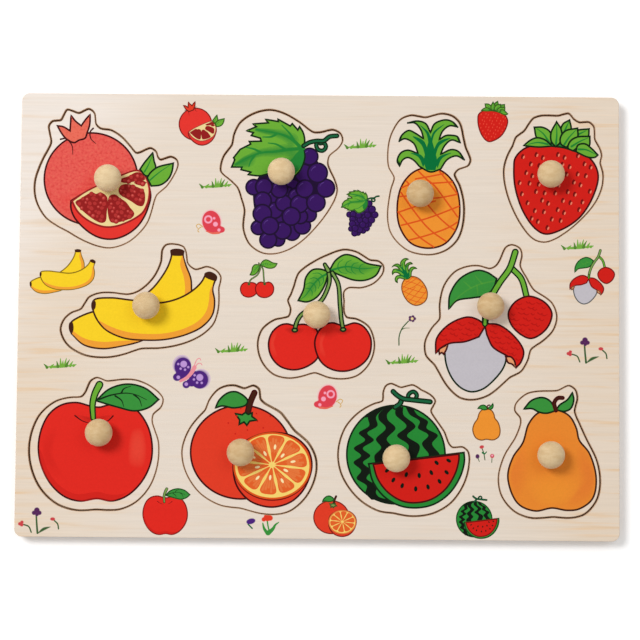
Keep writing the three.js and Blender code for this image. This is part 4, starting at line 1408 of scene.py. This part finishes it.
class Finish:
    """A new surface finish, or the world's, whose nodes are added one call at a time."""

    def __init__(self, owner):
        owner.use_nodes = True
        self.owner = owner
        self.tree = owner.node_tree
        self.tree.nodes.clear()

    def add(self, kind, settings=None, inputs=None, out=0):
        """Adds a node, with its settings first and then its sockets, and gives one output."""
        node = self.tree.nodes.new(kind)
        for name, value in (settings or {}).items():
            setattr(node, name, value)
        for name, value in (inputs or {}).items():
            if isinstance(value, Wire):
                self.tree.links.new(value.socket, node.inputs[name])
            else:
                node.inputs[name].default_value = value
        return Wire(self, node.outputs[out]) if node.outputs else None

    def coordinates(self):
        """Places on the piece itself, in metres."""
        return self.add("ShaderNodeTexCoord", out="Object")

    def part(self, places, axis):
        """One of the three numbers of a place."""
        return self.add("ShaderNodeSeparateXYZ", None, {0: places}, out=axis)

    def print_layer(self, out):
        """The print that the mesh carries: Color is its ink and Alpha its cover."""
        return self.add("ShaderNodeAttribute", {"attribute_name": "ink"}, out=out)

    def noise(self, places, stretch, detail=3.0, roughness=0.55):
        """Cloudy noise; stretch gives how many spots fit in a metre along each axis."""
        scaled = self.add("ShaderNodeVectorMath", {"operation": "MULTIPLY"}, {0: places, 1: stretch})
        values = {"Vector": scaled, "Scale": 1.0, "Detail": detail, "Roughness": roughness}
        return self.add("ShaderNodeTexNoise", None, values)

    def rise(self, value, low, high):
        """A value spread from 0 at low to 1 at high, with soft ends."""
        values = {"Value": value, "From Min": low, "From Max": high}
        return self.add("ShaderNodeMapRange", {"interpolation_type": "SMOOTHSTEP"}, values)

    def mix(self, factor, first, second, blend="MIX"):
        """Mixes two colours."""
        first, second = (c if isinstance(c, Wire) else (*c, 1.0) for c in (first, second))
        settings = {"data_type": "RGBA", "blend_type": blend}
        return self.add("ShaderNodeMix", settings, {0: factor, 6: first, 7: second}, out=2)

    def bump(self, height, strength, distance):
        """A normal roughened by a height."""
        values = {"Height": height, "Strength": strength, "Distance": distance}
        return self.add("ShaderNodeBump", None, values)

    def surface(self, values):
        """Ends the finish in one shader."""
        shader = self.add("ShaderNodeBsdfPrincipled", None, values)
        self.add("ShaderNodeOutputMaterial", None, {"Surface": shader})
        return self.owner


def new_finish(name):
    """An empty finish for a piece."""
    return Finish(bpy.data.materials.new(name))


def sheet_wood(finish, places, bare):
    """Colour of the pale sheet and its grain, which runs along the board's long side; the upper left corner,
    on the key lamp's side, is painted paler, partly the wood's own tone and partly painted light.
    """
    colours = bpy.context.scene.puzzle_colours
    grain = finish.noise(places, (9, 300, 9), 3.0, 0.6)
    tone = finish.noise(places, (5, 24, 5), 2.0, 0.5)
    fibre = finish.noise(places, (30, 1100, 30), 2.0, 0.6)
    lengthwise = finish.part(places, "X")
    across = finish.part(places, "Y")
    ends = finish.rise(lengthwise.math("ABSOLUTE", lengthwise), 0.07, 0.15)
    # Painted light, partly wood tone: the upper left corner, towards the key lamp, turns paler
    pale_and_lit_corner = finish.rise(across * 0.6 - lengthwise, 0.125, 0.185)
    warm = 0.12 + ends * 0.6 + (tone - 0.5) * 0.7
    wood = finish.mix(warm, bare, colours.board_warm)
    wood = finish.mix(pale_and_lit_corner * 0.9, wood, colours.board_pale_and_lit)
    dashes = finish.rise(finish.noise(places, (26, 430, 26), 2.0, 0.5), 0.52, 0.72)
    streaks = (finish.rise(grain, 0.5, 0.66) * 0.35 + dashes) * (0.15 + ends * 0.7) * (1 - pale_and_lit_corner * 0.7)
    wood = finish.mix(streaks, wood, colours.streak)
    shade = 0.925 + fibre * 0.15
    return finish.mix(1.0, wood, shade, "MULTIPLY"), grain, fibre


def printed_finish(name, bare, leathery=False):
    """Pale wood with the printed inks on it; a leathery skin has light and dark flecks."""
    finish = new_finish(name)
    places = finish.coordinates()
    wood, grain, fibre = sheet_wood(finish, places, bare)
    ink = finish.print_layer("Color")
    cover = finish.print_layer("Alpha")
    speckle = finish.noise(places, (900, 900, 900), 3.0, 0.65)
    tone = 1 + (speckle - 0.5) * 0.16 + (grain - 0.5) * 0.05
    printed = finish.mix(1.0, ink, tone, "MULTIPLY")
    if leathery:
        inks = bpy.context.scene.print_inks
        both = {0: ink, 1: inks.coral}
        off = finish.add("ShaderNodeVectorMath", {"operation": "DISTANCE"}, both, "Value")
        skin = 1 - finish.rise(off, 0.06, 0.08)
        fleck = finish.noise(places, (760, 760, 760), 2.0, 0.5)
        printed = finish.mix(finish.rise(fleck, 0.5, 0.7) * skin * 0.6, printed, inks.crown)
        printed = finish.mix(finish.rise(fleck, 0.5, 0.3) * skin * 0.35, printed, inks.berry_deep)
    base = finish.mix(cover, wood, printed)
    rough = 0.56 - cover * 0.1 + fibre * 0.06
    relief = fibre * 0.6 + speckle * 0.4
    bump = finish.bump(relief, 0.12, 0.00012)
    values = {"Base Color": base, "Roughness": rough, "Specular IOR Level": 0.05, "Normal": bump}
    return finish.surface(values)


def ply_edge_finish(name, burn):
    """Cut plywood: veneers by height, thin glue lines, and browning by the cutting beam."""
    colours = bpy.context.scene.puzzle_colours
    finish = new_finish(name)
    places = finish.coordinates()
    height = finish.part(places, "Z")
    veneer = height / bpy.context.scene.puzzle_sizes.ply
    part = veneer % 1.0
    crosswise = (veneer % 2.0) > 1.0
    glue = 1 - finish.rise(part, 0.0, 0.12) + finish.rise(part, 0.9, 1.0)
    fibre = finish.noise(places, (350, 350, 4200), 3.0, 0.6)
    pores = finish.noise(places, (2200, 2200, 2600), 2.0, 0.6)
    grain = fibre * (1 - crosswise) + pores * crosswise
    wood = finish.mix(grain * 0.6 + crosswise * 0.3, colours.back, colours.streak)
    wood = finish.mix(glue * 0.55, wood, colours.burnt)
    cloud = finish.noise(places, (260, 260, 700), 3.0, 0.6)
    browned = finish.rise(cloud, 0.15, 0.75) * 0.3 + burn
    base = finish.mix(browned, wood, colours.burnt)
    bump = finish.bump(grain * 0.7 - glue * 0.5, 0.35, 0.0002)
    return finish.surface({"Base Color": base, "Roughness": 0.72, "Normal": bump})


def bare_ply_finish(name):
    """Sanded bare plywood."""
    colours = bpy.context.scene.puzzle_colours
    finish = new_finish(name)
    places = finish.coordinates()
    grain = finish.noise(places, (22, 380, 22), 4.0, 0.6)
    pores = finish.rise(finish.noise(places, (120, 3000, 120), 2.0, 0.6), 0.6, 0.75)
    wood = finish.mix(finish.rise(grain, 0.35, 0.75), colours.back, colours.streak)
    base = finish.mix(pores * 0.35, wood, colours.burnt)
    bump = finish.bump(grain * 0.5 - pores * 0.5, 0.2, 0.0002)
    return finish.surface({"Base Color": base, "Roughness": 0.68, "Normal": bump})


def knob_finish(name):
    """Turned pale wood with fine grain, flecks and a soft sheen; the mesh says how warm it is."""
    colours = bpy.context.scene.puzzle_colours
    finish = new_finish(name)
    places = finish.coordinates()
    rings = finish.noise(places, (240, 420, 60), 3.0, 0.6)
    flecks = finish.rise(finish.noise(places, (1500, 2600, 500), 2.0, 0.6), 0.56, 0.74)
    warmth = finish.print_layer("Alpha")
    warm = finish.rise(rings, 0.3, 0.7) * 0.42 - 0.08 + warmth
    wood = finish.mix(warm, colours.knob, colours.knob_grain)
    base = finish.mix(flecks * 0.35, wood, colours.knob_grain)
    bump = finish.bump(rings * 0.6 - flecks * 0.4, 0.08, 0.0002)
    values = {"Base Color": base, "Roughness": 0.6, "Specular IOR Level": 0.3, "Normal": bump}
    return finish.surface({**values, "Sheen Weight": 0.3, "Sheen Roughness": 0.4})


def zinc_finish(name):
    """Bright zinc plate with fine brushing."""
    finish = new_finish(name)
    places = finish.coordinates()
    wear = finish.noise(places, (900, 900, 2500), 3.0, 0.6)
    rough = 0.26 + wear * 0.2
    zinc = (*bpy.context.scene.puzzle_colours.zinc, 1.0)
    return finish.surface({"Base Color": zinc, "Metallic": 1.0, "Roughness": rough})


# Pieces


def finished(piece, node, body):
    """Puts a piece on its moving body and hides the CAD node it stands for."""
    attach(piece, body)
    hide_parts(node)


def span(node):
    """Lowest and highest corners of a CAD node, in millimetres."""
    low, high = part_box(node)
    return np.array(low) / MM, np.array(high) / MM


def board_outline(node):
    """A board's outer edge, by its CAD box, with rounded corners."""
    low, high = span(node)
    radius = bpy.context.scene.puzzle_sizes.corner_round / MM
    middles = ((high, high, 0), (low, high, 90), (low, low, 180), (high, low, 270))
    rim = []
    for side, end, start in middles:
        x = side[0] - math.copysign(radius, side[0])
        y = end[1] - math.copysign(radius, end[1])
        turns = [math.radians(start + step) for step in range(0, 91, 10)]
        rim.extend((x + radius * math.cos(a), y + radius * math.sin(a)) for a in turns)
    return np.array(rim)


def rounded_wall(low, high, upper_round, lower_round):
    """A wall profile with a rounded upper edge and a small lower bevel."""
    quarter = [math.radians(a) for a in (90, 60, 30, 0)]
    wall = []
    for angle in quarter:
        inset = upper_round * (1 - math.cos(angle))
        drop = upper_round * (1 - math.sin(angle))
        wall.append((inset, high - drop))
    wall.append((0.0, low + lower_round))
    wall.append((lower_round, low))
    return wall


def lathe(mesher, centre, profile, segments, finish):
    """Turns a profile of (radius, height) points, from the top down, about an upright axis."""
    rows = []
    for radius, height in profile:
        if radius < 1e-6:
            rows.append(mesher.add_spots([centre], height))
        else:
            step = 2 * math.pi * radius / segments
            rows.append(mesher.add_spots(disc_loop(centre, radius, radius, 0, step), height))
    for upper, lower in zip(rows, rows[1:]):
        if len(upper) == 1:
            for a, b in zip(lower, np.roll(lower, -1)):
                mesher.add_face((upper[0], a, b), finish, True)
        elif len(lower) == 1:
            for a, b in zip(upper, np.roll(upper, -1)):
                mesher.add_face((a, lower[0], b), finish, True)
        else:
            mesher.band(upper, lower, finish)


# Millimetres of the screw holes, bevels and knobs

SCREW_HOLE_RADIUS = 1.65
COUNTERSINK_RADIUS = 3.05
COUNTERSINK_RIM = 0.95
COUNTERSINK_DEPTH = 2.45
FRUIT_BEVEL = 0.15
HIDDEN_BEVEL = 0.05  # where the two sheets are glued together
KNOB_FOOT_RADIUS = 4.2
KNOB_FOOT_HEIGHT = 2.0
KNOB_FOOT_BEVEL = 0.25
KNOB_HOLE_DEPTH = 8.25

# Steps round a knob and down its side

KNOB_SIDES = 64
KNOB_ROWS = 40

# How warm the wood of each knob is

KNOB_WARMTH = {
    "pomegranate": 0.05, "grape": 0.15, "pineapple": 0.7, "strawberry": 0.4, "banana": 0.4, "cherry": 0.25,
    "lychee": 0.6, "apple": 0.55, "orange": 0.6, "watermelon": 0.2, "pear": 0.3,
}

# How far the cutting beam browned each edge

BACK_BROWNING = 0.12
BOARD_BROWNING = 0.35
FRUIT_BROWNING = 0.45

FACE_BANDS = 3  # bands of the board's rounded outer edge that keep the printed face's finish


def fruit_sheet(fruit, faces):
    """One printed fruit with its countersunk screw hole."""
    node = fruit + "_piece"
    low, high = span(node)
    sizes = bpy.context.scene.puzzle_sizes
    outline, hole = cad_loops(node)
    middle = hole.mean(axis=0)
    cuts = [smooth_loop(list(outline)), disc_loop(middle, SCREW_HOLE_RADIUS, SCREW_HOLE_RADIUS)[::-1]]
    sink = COUNTERSINK_RADIUS - SCREW_HOLE_RADIUS
    screw_wall = [
        (0.0, high[2]),
        (0.0, low[2] + COUNTERSINK_DEPTH),
        (sink, low[2] + COUNTERSINK_RIM),
        (sink, low[2]),
    ]
    outer_wall = rounded_wall(low[2], high[2], sizes.edge_round / MM, FRUIT_BEVEL)
    art = Art()
    DRAWINGS[fruit](art, bpy.context.scene.print_inks)
    mesher = Mesher()
    sheet(mesher, cuts, [outer_wall, screw_wall], art.layers)
    piece = mesher.made(fruit + "_printed_sheet", faces)
    finished(piece, node, fruit)


def knob_profile(low, high, radius):
    """Outside of a round knob on a short foot, then its screw hole from below."""
    start = math.asin(KNOB_FOOT_RADIUS / radius)
    half = (high - low - KNOB_FOOT_HEIGHT) / (1 + math.cos(start))
    angles = np.linspace(math.pi, start, KNOB_ROWS)
    ball = [(radius * math.sin(a), high - half * (1 + math.cos(a))) for a in angles]
    return [
        (0.0, high),
        *ball[1:],
        (KNOB_FOOT_RADIUS, low + KNOB_FOOT_BEVEL),
        (KNOB_FOOT_RADIUS - KNOB_FOOT_BEVEL, low),
        (SCREW_HOLE_RADIUS, low),
        (SCREW_HOLE_RADIUS, low + KNOB_HOLE_DEPTH),
        (0.0, low + KNOB_HOLE_DEPTH),
    ]


# Stage, in metres and degrees

LENS = 112.74  # millimetres
SENSOR_WIDTH = 36  # millimetres
CAMERA_PLACE = (0.0042, -0.0693, 1.0057)
CAMERA_TURN = (3.847, 0.167, 0.474)

# Lamps: name, place, width and power in watts

LAMPS = (
    ("key_lamp", (-1.12, 0.72, 2.0), 0.8, 31.0),
    ("fill_lamp", (1.05, 0.6, 2.05), 1.1, 6.0),
)
WHITE = (1, 1, 1, 1)
SURROUND_LIGHT = 0.45
FLOOR_REACH = 6.0
FLOOR_HEIGHT = -0.0003
NEAR_FLOOR = 0.3  # metres from the middle within which the floor's own glow is low
FAR_FLOOR = 1.5  # metres from the middle beyond which the glow makes up for the far lamps
NEAR_GLOW = (0.14, 0.14, 0.14)
FAR_GLOW = (0.6, 0.6, 0.6)

# Operators


class PUZZLE_OT_stage(bpy.types.Operator):
    """Adds the camera, the floor, the soft studio lamps and the white background"""

    bl_idname = "puzzle.stage"
    bl_label = "Stage"

    def execute(self, context):
        scene = context.scene
        scene.view_settings.view_transform = "Standard"
        camera = bpy.data.cameras.new("camera")
        camera.lens = LENS
        camera.sensor_width = SENSOR_WIDTH
        stand = bpy.data.objects.new("camera", camera)
        stand.location = CAMERA_PLACE
        stand.rotation_euler = [math.radians(angle) for angle in CAMERA_TURN]
        scene.collection.objects.link(stand)
        scene.camera = stand
        for lamp in LAMPS:
            self.lamp(scene, *lamp)
        self.floor(scene)
        self.background(scene)
        return {"FINISHED"}

    def lamp(self, scene, name, place, size, power):
        """A square soft lamp that looks at the middle of the board."""
        lamp = bpy.data.lights.new(name, "AREA")
        lamp.size = size
        lamp.energy = power
        stand = bpy.data.objects.new(name, lamp)
        stand.location = place
        stand.rotation_euler = (-Vector(place)).to_track_quat("-Z", "Y").to_euler()
        scene.collection.objects.link(stand)

    def seen(self, finish):
        """One for rays that show the background: the camera's, and those off a gloss or through glass."""
        camera = finish.add("ShaderNodeLightPath", out="Is Camera Ray")
        glossy = finish.add("ShaderNodeLightPath", out="Is Glossy Ray")
        through = finish.add("ShaderNodeLightPath", out="Is Transmission Ray")
        return camera.math("MAXIMUM", camera.math("MAXIMUM", camera, glossy), through)

    def floor(self, scene):
        """A pale floor that keeps the shadow and is otherwise white to the camera."""
        ends = ((-1, -1), (1, -1), (1, 1), (-1, 1))
        corners = [(x * FLOOR_REACH, y * FLOOR_REACH, FLOOR_HEIGHT) for x, y in ends]
        mesh = bpy.data.meshes.new("floor")
        mesh.from_pydata(corners, [], [(0, 1, 2, 3)])
        floor = bpy.data.objects.new("floor", mesh)
        scene.collection.objects.link(floor)
        finish = new_finish("floor")
        spot = finish.add("ShaderNodeNewGeometry", out="Position")
        away = finish.add("ShaderNodeVectorMath", {"operation": "LENGTH"}, {0: spot}, "Value")
        far = finish.rise(away, NEAR_FLOOR, FAR_FLOOR)
        paint = finish.add("ShaderNodeBsdfDiffuse", None, {"Color": WHITE})
        glow = finish.add("ShaderNodeEmission", None, {"Color": finish.mix(far, NEAR_GLOW, FAR_GLOW)})
        bright = finish.add("ShaderNodeAddShader", None, {0: paint, 1: glow})
        both = finish.add("ShaderNodeMixShader", None, {0: self.seen(finish), 1: paint, 2: bright})
        finish.add("ShaderNodeOutputMaterial", None, {"Surface": both})
        mesh.materials.append(finish.owner)

    def background(self, scene):
        """Even light from all round, and white where the camera or a gloss sees past the floor."""
        finish = Finish(scene.world or bpy.data.worlds.new("world"))
        scene.world = finish.owner
        light = finish.add("ShaderNodeBackground", None, {"Color": WHITE, "Strength": SURROUND_LIGHT})
        white = finish.add("ShaderNodeBackground", None, {"Color": WHITE, "Strength": 1.0})
        both = finish.add("ShaderNodeMixShader", None, {0: self.seen(finish), 1: light, 2: white})
        finish.add("ShaderNodeOutputWorld", None, {"Surface": both})


class PUZZLE_OT_back_panel(bpy.types.Operator):
    """Builds the plain plywood back that floors the recesses"""

    bl_idname = "puzzle.back_panel"
    bl_label = "Back Panel"

    def execute(self, context):
        low, high = span("back_panel")
        wall = rounded_wall(low[2], high[2], HIDDEN_BEVEL, context.scene.puzzle_sizes.back_round / MM)
        mesher = Mesher()
        sheet(mesher, [board_outline("back_panel")], [wall], [])
        bare = bare_ply_finish("bare_ply")
        piece = mesher.made("back_ply", [bare, ply_edge_finish("back_edge", BACK_BROWNING), bare])
        finished(piece, "back_panel", "board")
        return {"FINISHED"}


class PUZZLE_OT_top_panel(bpy.types.Operator):
    """Builds the printed sheet with its eleven fruit recesses"""

    bl_idname = "puzzle.top_panel"
    bl_label = "Printed Board"

    def execute(self, context):
        low, high = span("top_panel")
        cuts = cad_loops("top_panel")
        cuts = [board_outline("top_panel"), *(smooth_loop(list(cut)) for cut in cuts[1:])]
        wall = rounded_wall(low[2], high[2], context.scene.puzzle_sizes.edge_round / MM, HIDDEN_BEVEL)
        mesher = Mesher()
        sheet(mesher, cuts, [wall] * len(cuts), board_art(context.scene.print_inks), FACE_BANDS)
        finishes = [
            printed_finish("printed_board", context.scene.puzzle_colours.board),
            ply_edge_finish("board_edge", BOARD_BROWNING),
            bare_ply_finish("board_underside"),
        ]
        piece = mesher.made("printed_board_sheet", finishes)
        finished(piece, "top_panel", "board")
        return {"FINISHED"}


class PUZZLE_OT_fruit_pieces(bpy.types.Operator):
    """Builds the eleven printed fruits that lift out"""

    bl_idname = "puzzle.fruit_pieces"
    bl_label = "Fruits"

    def execute(self, context):
        edge = ply_edge_finish("fruit_edge", FRUIT_BROWNING)
        underside = bare_ply_finish("fruit_underside")
        bare = context.scene.puzzle_colours.fruit_wood
        for fruit in FRUITS:
            printed = printed_finish(fruit + "_print", bare, fruit == "pomegranate")
            fruit_sheet(fruit, [printed, edge, underside])
        return {"FINISHED"}


class PUZZLE_OT_knobs(bpy.types.Operator):
    """Turns the eleven wooden knobs"""

    bl_idname = "puzzle.knobs"
    bl_label = "Knobs"

    def execute(self, context):
        wood = knob_finish("turned_wood")
        for fruit in FRUITS:
            node = fruit + "_knob"
            low, high = span(node)
            middle = (low + high) / 2
            radius = (high[0] - low[0]) / 2
            mesher = Mesher()
            lathe(mesher, middle[:2], knob_profile(low[2], high[2], radius), KNOB_SIDES, FACE)
            mesher.inks = [(*BARE[:3], KNOB_WARMTH[fruit])] * len(mesher.faces)
            piece = mesher.made(fruit + "_turned_knob", [wood])
            finished(piece, node, fruit)
        return {"FINISHED"}


class PUZZLE_OT_screws(bpy.types.Operator):
    """Gives the eleven CAD screws under the fruits their zinc plate"""

    bl_idname = "puzzle.screws"
    bl_label = "Screws"

    def execute(self, context):
        zinc = zinc_finish("zinc_screw")
        for fruit in FRUITS:
            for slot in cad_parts[fruit + "_screw"].material_slots:
                slot.material = zinc
        return {"FINISHED"}


class VIEW3D_PT_puzzle(bpy.types.Panel):
    """Lists the puzzle's pieces in the sidebar"""

    bl_label = "Wooden Peg Puzzle"
    bl_space_type = "VIEW_3D"
    bl_region_type = "UI"
    bl_category = "Puzzle"

    def draw(self, context):
        layout = self.layout
        for operator in OPERATORS:
            layout.operator(operator.bl_idname)
        for group in (context.scene.puzzle_sizes, context.scene.puzzle_colours, context.scene.print_inks):
            box = layout.box()
            for name in group.bl_rna.properties.keys():
                if name not in ("rna_type", "name"):
                    box.prop(group, name)


OPERATORS = (
    PUZZLE_OT_stage,
    PUZZLE_OT_back_panel,
    PUZZLE_OT_top_panel,
    PUZZLE_OT_fruit_pieces,
    PUZZLE_OT_knobs,
    PUZZLE_OT_screws,
)
CLASSES = (PuzzleSizes, PuzzleColours, PrintInks, *OPERATORS, VIEW3D_PT_puzzle)


def register():
    """Adds the classes and the settings."""
    for made in CLASSES:
        bpy.utils.register_class(made)
    bpy.types.Scene.puzzle_sizes = bpy.props.PointerProperty(type=PuzzleSizes)
    bpy.types.Scene.puzzle_colours = bpy.props.PointerProperty(type=PuzzleColours)
    bpy.types.Scene.print_inks = bpy.props.PointerProperty(type=PrintInks)


def unregister():
    """Takes the settings and the classes away again."""
    del bpy.types.Scene.print_inks
    del bpy.types.Scene.puzzle_colours
    del bpy.types.Scene.puzzle_sizes
    for made in reversed(CLASSES):
        bpy.utils.unregister_class(made)


def main():
    """Builds the puzzle."""
    register()
    bpy.ops.puzzle.stage()
    bpy.ops.puzzle.back_panel()
    bpy.ops.puzzle.top_panel()
    bpy.ops.puzzle.fruit_pieces()
    bpy.ops.puzzle.knobs()
    bpy.ops.puzzle.screws()


if __name__ == "__main__":
    main()
